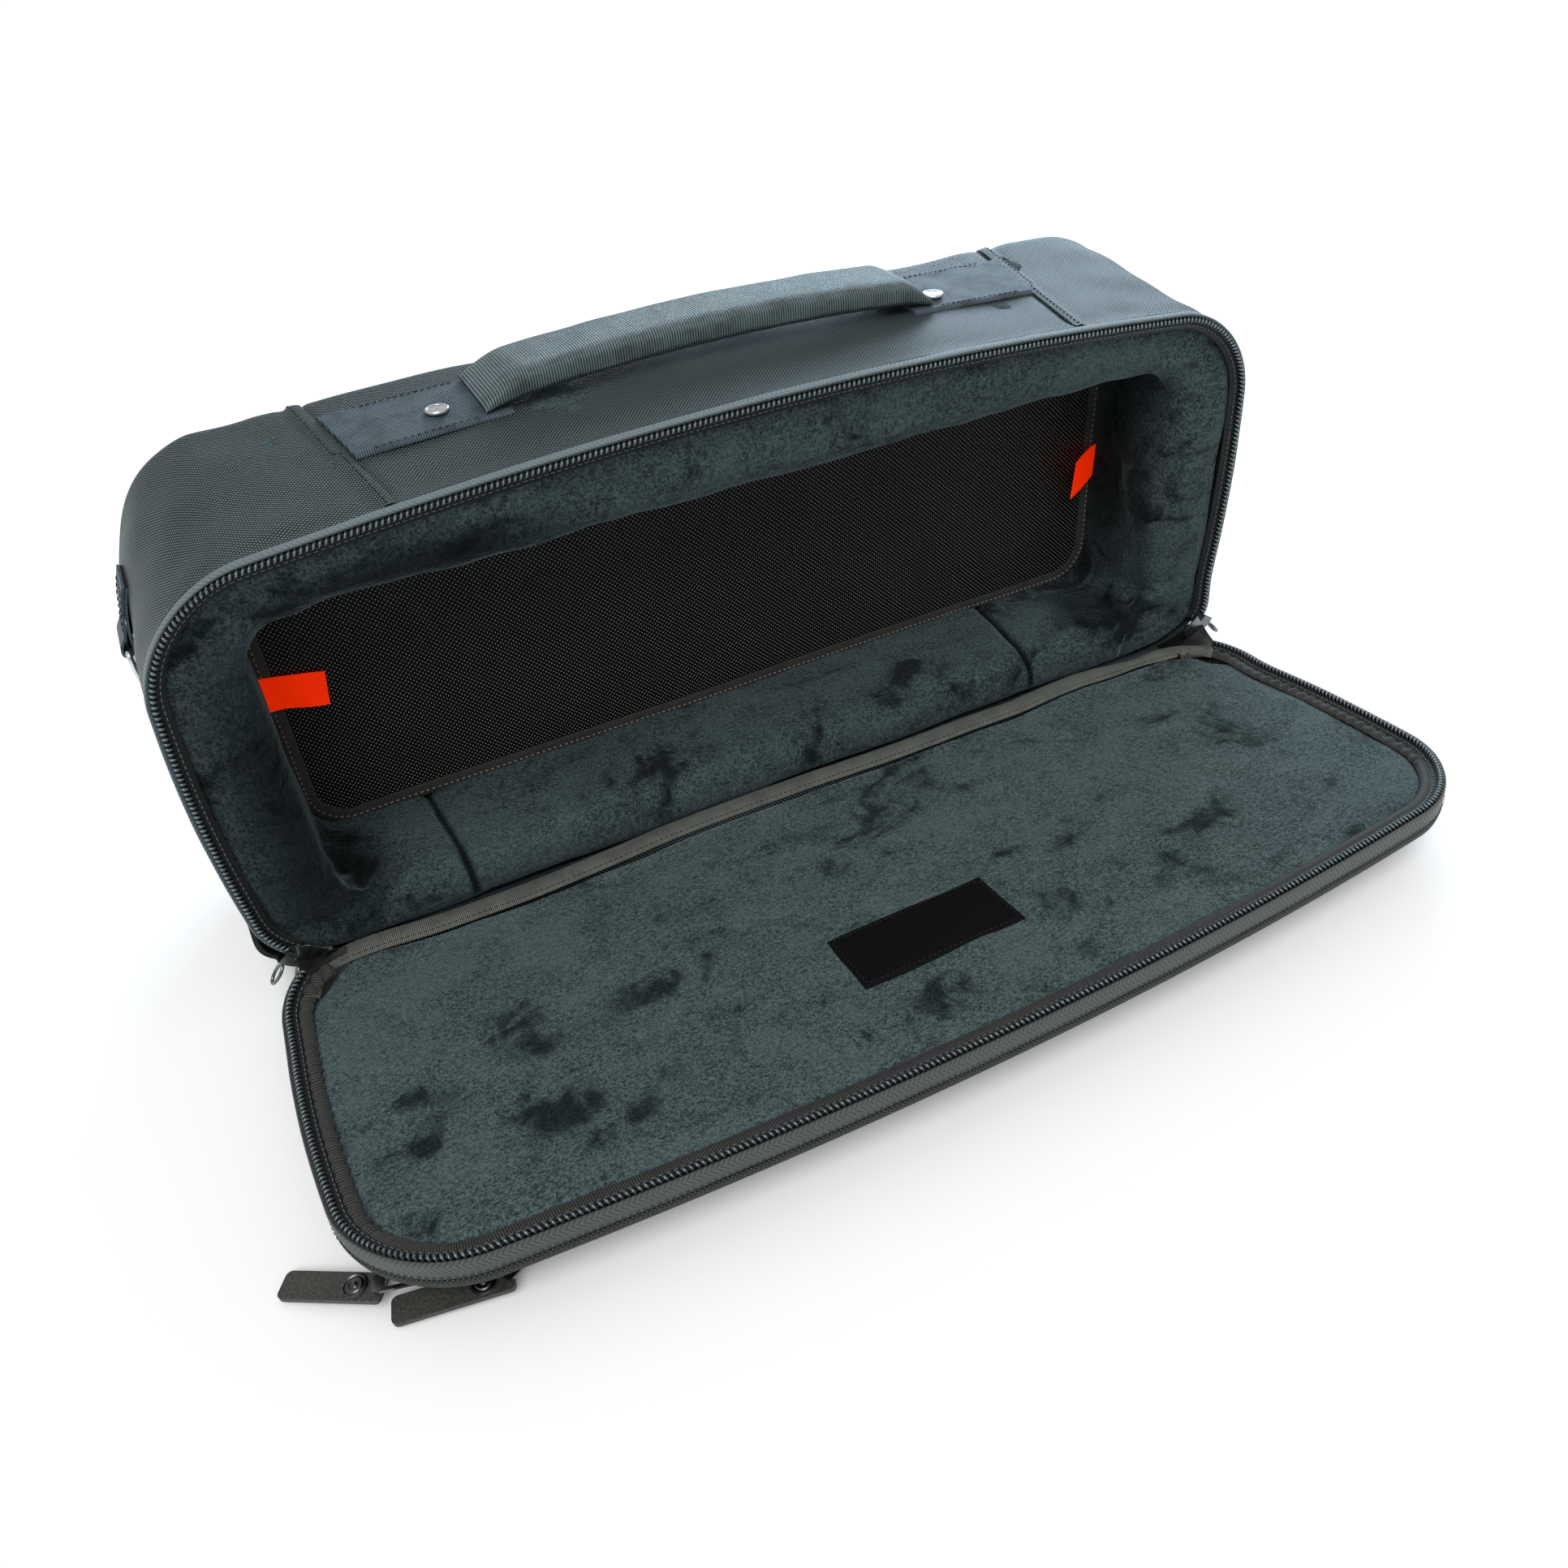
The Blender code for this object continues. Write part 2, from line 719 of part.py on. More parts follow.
def build_rings():
    line = [
        (22.0, 0.95), (10.0, 0.95), (2.0, 0.95), (-2.6, 0.95), (-5.0, 1.9), (-6.0, 3.6),
        (-5.0, 5.3), (-3.0, 5.9), (-0.2, 5.2), (2.8, 3.2), (6.0, 2.4), (13.0, 2.4), (22.0, 2.4),
    ]
    half = 0.55
    left, right = [], []
    for i, (sg, d) in enumerate(line):
        a = line[max(i - 1, 0)]
        b = line[min(i + 1, len(line) - 1)]
        ds, dd = b[0] - a[0], b[1] - a[1]
        size = math.hypot(ds, dd)
        ns, nd = -dd / size, ds / size
        left.append((sg + half * ns, d + half * nd))
        right.append((sg - half * ns, d - half * nd))
    for side, name in ((-1, "left"), (1, "right")):

        def place(y, sg, d, side=side):
            x, _, z = shell(side_u(sg), -d, y)
            return -side * x, y, z

        sweep(
            f"ring_tab_{name}", "webbing", span(RING_Y - 11.0, RING_Y + 11.0, 3),
            left, right, place,
        )
        bx, _, bz = place(RING_Y, -3.0, 3.6)
        wire = 1.35
        path = [(RING_Y + v, 0.0) for v in span(-13.0, 13.0, 4)]
        path += [(RING_Y + 14.6, -0.7), (RING_Y + 15.3, -2.4)]
        path += [
            (RING_Y + 15.4 * math.cos(a), -5.0 + 15.4 * math.sin(a))
            for a in [math.radians(-18 * i) for i in range(11)]
        ]
        path += [(RING_Y - 15.3, -2.4), (RING_Y - 14.6, -0.7)]
        ring = [(bx, y, bz + z) for y, z in path]
        tube(
            f"d_ring_{name}", "steel", ring, 8, wire, True,
            origin=(bx, RING_Y, bz), up=(1.0, 0.0, 0.0),
        )


# centre of the circle that the zip end follows on the right, found for the bulged corner
SLIDER_AT = 0.522
SLIDER_HALF = 0.105


def fit_centre():
    """Least-squares centre of the bulged corner between the slider's rest and its top place."""
    pts = []
    for u in span(-0.64, -0.06, 25):
        x, _, z = shell(u, 1.0, 0.0)
        pts.append((x, z))
    n = len(pts)
    sx = sum(p[0] for p in pts) / n
    sz = sum(p[1] for p in pts) / n
    suu = svv = suv = suuu = svvv = suvv = svuu = 0.0
    for x, z in pts:
        p, q = x - sx, z - sz
        suu += p * p
        svv += q * q
        suv += p * q
        suuu += p**3
        svvv += q**3
        suvv += p * q * q
        svuu += q * p * p
    det = suu * svv - suv * suv
    a, b = (suuu + suvv) / 2, (svvv + svuu) / 2
    return sx + (a * svv - b * suv) / det, sz + (b * suu - a * suv) / det


def build_sliders():
    cx, cz = fit_centre()
    ring = [
        (-2.7, -1.45), (-2.7, 7.2), (-0.5, 7.2), (-0.5, -0.35),
        (6.9, -0.35), (6.9, 4.4), (8.4, 4.4), (8.4, -1.45),
    ]
    for side, name in ((-1, "left"), (1, "right")):

        def place(u, inset, y, side=side):
            x, y2, z = shell(u, inset, y)
            return side * x, y2, z

        stations = span(-SLIDER_AT - SLIDER_HALF, -SLIDER_AT + SLIDER_HALF, 5)
        origin = (side * cx, 0.0, cz)
        body = loft(
            f"slider_plates_{name}", "gunmetal",
            [[place(u, i, y) for i, y in ring] for u in stations],
        )
        pieces = [body]
        for k, du in enumerate((-0.055, 0.05)):
            base_in = place(-SLIDER_AT + du, -2.2, 1.0)
            base_out = place(-SLIDER_AT + du, -3.2, 1.0)
            axis = unit([base_out[i] - base_in[i] for i in range(3)])
            loop = []
            for i in range(14):
                a = 2 * math.pi * i / 14
                h = 3.4 - 4.4 * math.cos(a)
                v = 1.4 + 2.9 * math.sin(a)
                loop.append([base_in[0] + axis[0] * h, v, base_in[2] + axis[2] * h])
            tangent = unit(cross(axis, (0, 1, 0)))
            pieces.append(
                tube(f"slider_loop_{name}_{k}", "steel", loop, 6, 0.75, True, up=tangent)
            )
        union(f"zip_slider_{name}", "gunmetal", pieces, origin=origin)


def build_lid():
    origin = (0.0, HINGE_Y, HINGE_Z)
    run = legs(ZIP_END_R, ZIP_END_L, arc=9, side=6, top=12)
    sweep(
        "lid_zip_tape", "tape", run,
        [(0.3, -0.3), (0.3, -TAPE_W)], [(1.8, -0.3), (1.8, -TAPE_W)],
        lid_shell, origin=origin,
    )
    tube(
        "lid_zip_coil", "coil", [lid_shell(u, COIL_INSET, -COIL_Y) for u in run],
        8, COIL_R, False, origin=origin,
    )
    low = legs(ZIP_END_L + 0.05, 8.0 + ZIP_END_R - 0.05, arc=8, low=5)
    sweep(
        "lid_hinge_panel", "nylon", low,
        [(0.3, -0.6), (0.3, -TAPE_W)], [(1.8, -0.6), (1.8, -TAPE_W)],
        lid_shell, origin=origin,
    )
    r = 5.0
    steps = 3

    def arc(inner_r):
        return [
            (
                r - inner_r * math.cos(math.radians(90 * i / steps)),
                -LID_D + r - inner_r * math.sin(math.radians(90 * i / steps)),
            )
            for i in range(steps + 1)
        ]

    loop = legs(0.0, 8.0, arc=8, side=5, top=10, low=5)[:-1]
    top = -TAPE_W - GAP
    # hands the skins on in one direction, so that the ends pair up
    sweep(
        "lid_gusset", "nylon", loop,
        [(0.0, top), *arc(r)], [(1.6, top), *arc(r - 1.6)],
        lid_shell, closed=True, origin=origin,
    )
    loft(
        "lid_outer_panel", "nylon",
        [[lid_shell(u, r + 0.35, n) for u in loop] for n in (-LID_D, -LID_D + 1.6)],
        origin=origin,
    )
    loft(
        "lid_pad", "fleece",
        [
            [lid_shell(u, inset, n) for u in loop]
            for inset, n in (
                (5.4, -LID_D + 1.95), (3.6, -14.0), (2.9, -11.0), (6.6, -7.0),
                (8.0, -5.2), (11.5, -5.0), (15.0, -4.0),
            )
        ],
        origin=origin,
    )
    sweep(
        "lid_binding", "binding", loop,
        [(6.6, -3.6), (11.2, -3.4)], [(6.6, -4.6), (11.2, -4.6)],
        lid_shell, closed=True, origin=origin,
    )
    frame = (
        (0, HINGE_Y, HINGE_Z),
        (1, 0, 0),
        (0, -math.cos(TILT), math.sin(TILT)),
        (0, math.sin(TILT), math.cos(TILT)),
    )
    plate(
        "lid_blank_patch", "black_nylon", rounded(-52.7, 34.0, 124.0, 163.0, (1.5,) * 4, 2),
        -3.7, -2.8, frame, origin=origin,
    )
    plate(
        "front_pocket_panel", "nylon", rounded(-252.0, 252.0, 48.0, 186.0, (14, 14, 8, 8), 4),
        -21.8, -LID_D - GAP, frame, origin=origin,
    )
    plate(
        "pocket_zip", "coil", rounded(-250.0, 244.0, 187.0, 195.0, (1,) * 4, 2),
        -LID_D - 1.7, -LID_D - GAP, frame, origin=origin,
    )
    s0 = 191.0
    for k, x0 in ((1, -243.0), (2, -216.0)):
        low_face = -LID_D - 2.0
        here = (
            lid_frame(x0, s0, low_face), frame[1], frame[2], frame[3],
        )
        body = plate(
            f"pocket_slider_body_{k}", "gunmetal",
            [(-6.5, -3.4), (-4.0, -4.6), (4.0, -4.6), (6.5, -3.4), (6.5, 3.4), (4.0, 4.6), (-4.0, 4.6), (-6.5, 3.4)],
            -2.4, 0.0, here,
        )
        arch = [(-4.6, -2.2), (-4.2, -4.6), (-2.6, -5.9), (0.0, -6.2), (2.6, -5.9), (4.2, -4.6), (4.6, -2.2)]
        bail = tube(
            f"pocket_slider_bail_{k}", "gunmetal",
            [lid_frame(x0 + x, s0, low_face + n) for x, n in arch],
            6, 0.75, False, up=frame[2],
        )
        union(
            f"pocket_slider_{k}", "gunmetal", [body, bail],
            origin=lid_frame(x0, s0, low_face),
        )
        pin = lid_frame(x0, s0, low_face - 4.0)
        if k == 1:
            joint, tip = (-283.0, -180.0, 11.5), (-317.2, -156.3, 6.2)
        else:
            joint, tip = (-236.5, -199.5, 9.5), (-281.2, -189.4, 6.4)
        a = unit([joint[i] - pin[i] for i in range(3)])
        side = unit(cross((0, 0, 1), a))
        up = cross(a, side)
        lk = math.sqrt(sum((joint[i] - pin[i]) ** 2 for i in range(3)))
        link_frame = (pin, a, side, up)
        plate(
            f"pocket_pull_link_{k}", "gunmetal",
            rounded(-1.0, lk + 1.6, -4.0, 4.0, (2.5,) * 4, 3),
            -0.7, 0.7, link_frame,
            hole=rounded(0.8, lk - 4.0, -2.5, 2.5, (1.2,) * 4, 3),
            origin=pin,
        )
        b = unit([tip[i] - joint[i] for i in range(3)])
        tside = unit(cross((0, 0, 1), b))
        tup = cross(b, tside)
        length = math.sqrt(sum((tip[i] - joint[i]) ** 2 for i in range(3)))
        tab_frame = ([joint[i] - tup[i] * 3.1 for i in range(3)], b, tside, tup)
        plate(
            f"pocket_pull_tab_{k}", "rubber",
            rounded(-2.4, length, -6.0, 6.0, (2.0, 2.6, 2.6, 2.0), 4),
            -1.3, 1.1, tab_frame, origin=pin,
        )
        rivet = []
        for r2, h in ((5.0, 1.3), (5.2, 1.8), (4.2, 2.5), (1.4, 2.8)):
            rivet.append(
                [
                    [
                        tab_frame[0][i]
                        + b[i] * (9.6 + r2 * math.cos(w))
                        + tside[i] * r2 * math.sin(w)
                        + tup[i] * h
                        for i in range(3)
                    ]
                    for w in [2 * math.pi * j / 14 for j in range(14)]
                ]
            )
        loft(f"pocket_pull_rivet_{k}", "gunmetal", rivet, origin=pin, smooth=50)


def main():
    clear_scene()
    build_shell()
    build_zip()
    build_pads()
    build_divider()
    build_handle()
    build_rings()
    build_sliders()
    build_lid()


main()
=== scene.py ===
import math

import bmesh
import bpy
import numpy as np
from mathutils import Matrix, Vector


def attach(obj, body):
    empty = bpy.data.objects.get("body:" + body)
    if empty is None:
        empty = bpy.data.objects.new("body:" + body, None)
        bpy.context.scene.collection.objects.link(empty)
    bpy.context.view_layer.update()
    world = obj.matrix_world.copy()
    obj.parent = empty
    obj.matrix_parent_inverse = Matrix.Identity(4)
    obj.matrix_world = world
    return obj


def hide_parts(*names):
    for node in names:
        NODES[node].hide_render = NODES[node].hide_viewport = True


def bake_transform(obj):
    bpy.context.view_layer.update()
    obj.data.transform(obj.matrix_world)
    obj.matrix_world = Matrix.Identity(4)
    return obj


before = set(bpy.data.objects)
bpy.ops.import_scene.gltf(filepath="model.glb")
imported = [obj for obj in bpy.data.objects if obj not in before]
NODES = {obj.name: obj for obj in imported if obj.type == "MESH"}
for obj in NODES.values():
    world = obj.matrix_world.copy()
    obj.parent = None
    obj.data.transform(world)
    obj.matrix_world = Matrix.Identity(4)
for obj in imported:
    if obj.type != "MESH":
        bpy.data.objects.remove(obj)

PI = math.pi
FRAME_Y = 70.0  # the design counts y from the opening; the frame stands this far further forward


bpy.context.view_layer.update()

# ---------------------------------------------------------------- design surfaces, in millimetres
HALF_W, LOW, HIGH = 286.0, 14.0, 208.0
R_TOP, R_LOW = 48.0, 38.0
SIDE_BULGE, TOP_BULGE = 7.0, 18.0
FOOT_Y, DEPTH, R_BACK = 25.0, 128.0, 15.0
HINGE_Y, HINGE_Z = -1.5, 17.0
TILT = math.radians(7.15)
CT, ST = math.cos(TILT), math.sin(TILT)
LID_LOW, LID_HIGH, LID_D = 20.0, 202.0, 18.0


def outline(u, low, high):
    """(x, z, nx, nz) on the rounded rectangle; u is an array."""
    u = np.asarray(u, float) % 8.0
    leg = np.floor(u).astype(int)
    f = u - leg
    xt, xb = HALF_W - R_TOP, HALF_W - R_LOW
    zt, zb = low + high - R_TOP, low + R_LOW
    x, z, nx, nz = (np.zeros_like(u) for _ in range(4))
    straight = {
        0: (HALF_W + 0 * f, zb + f * (zt - zb), 1.0, 0.0),
        2: (xt - 2 * xt * f, low + high + 0 * f, 0.0, 1.0),
        4: (-HALF_W + 0 * f, zt - f * (zt - zb), -1.0, 0.0),
        6: (-xb + 2 * xb * f, low + 0 * f, 0.0, -1.0),
    }
    for k, (a, b, c, d) in straight.items():
        m = leg == k
        x[m], z[m], nx[m], nz[m] = a[m], b[m], c, d
    arcs = {1: (xt, zt, R_TOP, 0), 3: (-xt, zt, R_TOP, 90), 5: (-xb, zb, R_LOW, 180), 7: (xb, zb, R_LOW, 270)}
    for k, (cx, cz, r, start) in arcs.items():
        m = leg == k
        a = np.radians(start + 90 * f[m])
        x[m], z[m], nx[m], nz[m] = cx + r * np.cos(a), cz + r * np.sin(a), np.cos(a), np.sin(a)
    return x, z, nx, nz


def smooth01(v):
    v = np.clip(v, 0.0, 1.0)
    return v * v * (3 - 2 * v)


def corner_out(x, y, z):
    """The mouth's lower right corner stands out squarer than the others."""
    return 10.0 * smooth01((x - 215.0) / 60.0) * np.exp(-(((z - 26.0) / 17.0) ** 2)) * (1 - smooth01((y - 4.0) / 60.0))


def warp(x, y, z):
    t = np.clip((z - LOW) / HIGH, 0.0, 1.05)
    s = np.minimum(t, 1.0)
    x2 = x * (1 + SIDE_BULGE / HALF_W * np.sin(PI * s))
    z2 = z + TOP_BULGE * (1 - (x / HALF_W) ** 2) * t
    z2 = z2 - LOW * (1 - s) ** 2 * smooth01(y / FOOT_Y)
    climb = 5.0 + 5.2 * np.minimum((x / 190.0) ** 2, 1.6)
    z2 = z2 + climb * np.clip((y - 10.0) / 108.0, 0, 1) * smooth01((t - 0.78) / 0.22)
    return x2 + (y > -0.5) * corner_out(x, y, z), y, z2


def shell(u, inset, y):
    u, inset, y = np.broadcast_arrays(np.asarray(u, float), np.asarray(inset, float), np.asarray(y, float))
    x, z, nx, nz = outline(u, LOW, HIGH)
    return np.stack(warp(x - inset * nx, y, z - inset * nz), -1)


def lid_frame(x, s, n):
    x, s, n = np.broadcast_arrays(np.asarray(x, float), np.asarray(s, float), np.asarray(n, float))
    return np.stack([x, HINGE_Y - s * CT + n * ST, HINGE_Z + s * ST + n * CT], -1)


def lid_coords(p):
    """(s, n) of places in the design frame."""
    dy, dz = p[..., 1] - HINGE_Y, p[..., 2] - HINGE_Z
    return -dy * CT + dz * ST, dy * ST + dz * CT


def lid_shell(u, inset, n):
    u, inset, n = np.broadcast_arrays(np.asarray(u, float), np.asarray(inset, float), np.asarray(n, float))
    x, z, nx, nz = outline(u, LID_LOW, LID_HIGH)
    x2, _, z2 = warp(x - inset * nx, -1.0 + 0 * x, z - inset * nz)
    return lid_frame(x2, z2 - HINGE_Z, n)


def hinge_pull(x, s):
    """How far the lid's rim is drawn near the hinge's two ends: outwards, towards the hinge and up."""
    w = np.clip((60.0 - s) / 44.0, 0.0, 1.0)
    left = x < 0
    dn = np.where(left, 7.5, 3.0) * w * w
    ds = np.where(left, -0.364 * 44.0 * w + 1.36 * dn, 0.0)
    dx = np.where(left, 0.0, 8.0 * w * w)
    return dx, ds, dn


def zip_path(u, inset, n):
    """The lid's zip: its rim, with the ends beside the hinge standing out and climbing to the sliders."""
    ref = lid_shell(u, 2.8, -0.75)
    s, _ = lid_coords(ref)
    dx, ds, dn = hinge_pull(ref[..., 0], s)
    base = lid_shell(u, inset, n)
    s, n0 = lid_coords(base)
    k = smooth01((n0 + 10.5) / 8.0)
    return lid_frame(base[..., 0] + dx * k, s + ds * k, n0 + dn * k)


def seam_x(y):
    return 172.5 + 18.2 * np.clip((y - 10.0) / 118.0, 0, 1)


def seam_u(y, gap):
    return 2.0 + (238.0 - seam_x(y) - gap) / 476.0


def top_surface(x, y, lift):
    x, y, lift = np.broadcast_arrays(np.asarray(x, float), np.asarray(y, float), np.asarray(lift, float))
    return shell(2.0 + (238.0 - x) / 476.0, -lift, y)


def side_u(sigma):
    sigma = np.asarray(sigma, float)
    return np.where(sigma > 0, 4.0 - sigma / (R_TOP * PI / 2), 4.0 - sigma / 122.0)


def wave(p, size, seed, dims=3):
    """Smooth seeded noise, about -1 to 1, with features of this size in millimetres."""
    rng = np.random.RandomState(seed)
    total = np.zeros(p.shape[:-1])
    for _ in range(9):
        k = rng.normal(size=3)
        k /= np.linalg.norm(k)
        k *= 2 * PI / (size * rng.uniform(0.75, 1.8))
        total = total + np.sin(p @ k + rng.uniform(0, 2 * PI))
    return total / 4.2


def unit(v):
    v = np.asarray(v, float)
    return v / np.maximum(np.linalg.norm(v, axis=-1, keepdims=True), 1e-12)


def arc_len(p):
    d = np.linalg.norm(np.diff(p, axis=0), axis=-1)
    return np.concatenate([[0.0], np.cumsum(d)])


def resample(p, step=None, count=None):
    s = arc_len(p)
    n = count or max(2, int(round(s[-1] / step)) + 1)
    t = np.linspace(0, s[-1], n)
    return np.stack([np.interp(t, s, p[:, i]) for i in range(3)], -1)


# ---------------------------------------------------------------- meshes


def mesh_piece(name, points, faces, mat, uvs=None, sharp=50.0):
    """A closed mesh from points in the design frame, in millimetres. uvs holds one pair for each face corner, in metres."""
    pts = (np.asarray(points, float) - [0, FRAME_Y, 0]) * 0.001
    mesh = bpy.data.meshes.new(name)
    mesh.from_pydata(pts.tolist(), [], [list(map(int, f)) for f in faces])
    if uvs is not None:
        layer = mesh.uv_layers.new(name="UVMap")
        layer.data.foreach_set("uv", np.asarray(uvs, np.float32).reshape(-1))
    mesh.update()
    bm = bmesh.new()
    bm.from_mesh(mesh)
    if bm.calc_volume(signed=True) < 0:
        bmesh.ops.reverse_faces(bm, faces=bm.faces)
        bm.to_mesh(mesh)
    bm.free()
    mesh.shade_smooth()
    mesh.set_sharp_from_angle(angle=math.radians(sharp))
    obj = bpy.data.objects.new(name, mesh)
    bpy.context.scene.collection.objects.link(obj)
    if mat is not None:
        mesh.materials.append(mat)
    return obj


def slab(name, outer, inner, mat, closed=False, uv=None, sharp=50.0):
    """Two skins of (nu, nv, 3) joined round their rims. uv is (nu or nu + 1, nv, 2) in metres, or None for arc lengths."""
    nu, nv = outer.shape[:2]
    if uv is None:
        wrap = np.concatenate([outer, outer[:1]], 0) if closed else outer
        du = np.linalg.norm(np.diff(wrap, axis=0), axis=-1).mean(1)
        along = np.concatenate([[0], np.cumsum(du)])
        dv = np.linalg.norm(np.diff(outer, axis=1), axis=-1)
        across = np.concatenate([np.zeros((nu, 1)), np.cumsum(dv, 1)], 1)
        if closed:
            across = np.concatenate([across, across[:1]], 0)
        uv = np.stack([np.repeat(along[:, None], nv, 1), across], -1) * 0.001
    points = np.concatenate([outer.reshape(-1, 3), inner.reshape(-1, 3)])
    base = nu * nv
    faces, corners_uv = [], []

    def idx(i, j, k):
        return k * base + (i % nu) * nv + j

    rows = nu if closed else nu - 1
    ii, jj = np.meshgrid(np.arange(rows), np.arange(nv - 1), indexing="ij")
    ii, jj = ii.ravel(), jj.ravel()
    quad = [(ii, jj), (ii + 1, jj), (ii + 1, jj + 1), (ii, jj + 1)]
    front = np.stack([idx(a, b, 0) for a, b in quad], 1)
    fuv = np.stack([uv[a, b] for a, b in quad], 1)
    back = np.stack([idx(a, b, 1) for a, b in quad[::-1]], 1)
    buv = fuv[:, ::-1]
    faces += front.tolist() + back.tolist()
    corners_uv += [fuv.reshape(-1, 2), buv.reshape(-1, 2)]
    i = np.arange(rows)
    for j, flip in ((0, False), (nv - 1, True)):
        q = np.stack([idx(i, j, 0), idx(i, j, 1), idx(i + 1, j, 1), idx(i + 1, j, 0)], 1)
        w = np.stack([uv[i, j], uv[i, j], uv[i + 1, j], uv[i + 1, j]], 1)
        if flip:
            q, w = q[:, ::-1], w[:, ::-1]
        faces += q.tolist()
        corners_uv.append(w.reshape(-1, 2))
    if not closed:
        j = np.arange(nv - 1)
        for i0, flip in ((0, True), (nu - 1, False)):
            q = np.stack([idx(i0, j, 0), idx(i0, j, 1), idx(i0, j + 1, 1), idx(i0, j + 1, 0)], 1)
            w = np.stack([uv[i0, j], uv[i0, j], uv[i0, j + 1], uv[i0, j + 1]], 1)
            if flip:
                q, w = q[:, ::-1], w[:, ::-1]
            faces += q.tolist()
            corners_uv.append(w.reshape(-1, 2))
    return mesh_piece(name, points, faces, mat, np.concatenate(corners_uv), sharp)


def tube(name, line, radius, mat, sides=10, closed=False, up=(0, 1, 0), flat=1.0, sharp=60.0, scale=None):
    """A wire along the points; scale gives each station a share of the radius."""
    line = np.asarray(line, float)
    n = len(line)
    if closed:
        d = np.roll(line, -1, 0) - np.roll(line, 1, 0)
    else:
        d = np.gradient(line, axis=0)
    d = unit(d)
    a = unit(np.cross(d, np.broadcast_to(np.asarray(up, float), d.shape)))
    b = np.cross(d, a)
    w = 2 * PI * (np.arange(sides) + 0.5) / sides
    r = radius * (np.ones(n) if scale is None else np.asarray(scale))
    ring = (
        line[:, None]
        + a[:, None] * (np.cos(w) * 1.0)[None, :, None] * r[:, None, None]
        + b[:, None] * (np.sin(w) * flat)[None, :, None] * r[:, None, None]
    )
    s = arc_len(np.concatenate([line, line[:1]]) if closed else line) * 0.001
    rows = n if closed else n - 1
    faces, uvs = [], []
    i, j = np.meshgrid(np.arange(rows), np.arange(sides), indexing="ij")
    i, j = i.ravel(), j.ravel()
    q = np.stack([i * sides + j, i * sides + (j + 1) % sides, ((i + 1) % n) * sides + (j + 1) % sides, ((i + 1) % n) * sides + j], 1)
    faces += q.tolist()
    c = radius * 2 * PI * 0.001 / sides
    uvs.append(np.stack([np.stack([s[i], j * c], -1), np.stack([s[i], (j + 1) * c], -1), np.stack([s[i + 1], (j + 1) * c], -1), np.stack([s[i + 1], j * c], -1)], 1).reshape(-1, 2))
    if not closed:
        faces.append(list(range(sides))[::-1])
        faces.append([(n - 1) * sides + k for k in range(sides)])
        uvs.append(np.zeros((2 * sides, 2)))
    return mesh_piece(name, ring.reshape(-1, 3), faces, mat, np.concatenate(uvs), sharp)


def coil(name, centre, inward, across, mat, pitch=2.6, half_in=2.0, half_y=1.15, wire=0.52, per=12, sides=6):
    """A spiral zip coil along the centre line: inward and across are the directions of its two half widths."""
    s = arc_len(centre)
    turns = int(s[-1] / pitch)
    t = np.linspace(0, s[-1], turns * per + 1)
    at = lambda v: np.stack([np.interp(t, s, v[:, i]) for i in range(3)], -1)
    phi = 2 * PI * t / pitch
    line = at(centre) + at(inward) * (half_in * np.cos(phi))[:, None] + at(across) * (half_y * np.sin(phi))[:, None]
    # each turn is thickest where it shows, on the side away from the tape
    head = 0.78 + 0.5 * np.maximum(0, -np.sin(phi)) ** 2
    return tube(name, line, wire, mat, sides=sides, up=(0.13, 0.7, 0.7), scale=head)


def stitches(name, line, normals, mat, pitch=3.4, length=2.5, width=0.55, height=0.5, lift=0.1):
    """A row of thread stitches lying on a surface along a line."""
    line = np.asarray(line, float)
    normals = np.broadcast_to(np.asarray(normals, float), line.shape)
    s = arc_len(line)
    count = max(1, int(s[-1] // pitch))
    c = (np.arange(count) + 0.5) * pitch + (s[-1] - count * pitch) / 2
    at = lambda v, t: np.stack([np.interp(t, s, v[:, i]) for i in range(3)], -1)
    prof = [(-0.5, 0.2, -0.35), (-0.38, 0.85, 0.0), (0.0, 1.0, 0.12), (0.38, 0.85, 0.0), (0.5, 0.2, -0.35)]
    sides = 6
    rings = []
    n = unit(at(normals, c))
    d = unit(at(line, np.minimum(c + 0.3, s[-1])) - at(line, np.maximum(c - 0.3, 0)))
    side = unit(np.cross(d, n))
    w = 2 * PI * np.arange(sides) / sides
    for f, r, h in prof:
        p = at(line, np.clip(c + f * length, 0, s[-1])) + n * (lift + h * height)
        ring = p[:, None] + side[:, None] * (np.cos(w) * r * width / 2)[None, :, None] + n[:, None] * (np.sin(w) * r * height / 2)[None, :, None]
        rings.append(ring)
    pts = np.stack(rings, 1)  # count, 5, sides, 3
    per = len(prof) * sides
    faces = []
    one = []
    for k in range(len(prof) - 1):
        for j in range(sides):
            one.append([k * sides + j, k * sides + (j + 1) % sides, (k + 1) * sides + (j + 1) % sides, (k + 1) * sides + j])
    caps = [list(range(sides))[::-1], [(len(prof) - 1) * sides + j for j in range(sides)]]
    for q in range(count):
        faces += [[v + q * per for v in f] for f in one + caps]
    return mesh_piece(name, pts.reshape(-1, 3), faces, mat, None, 180.0)


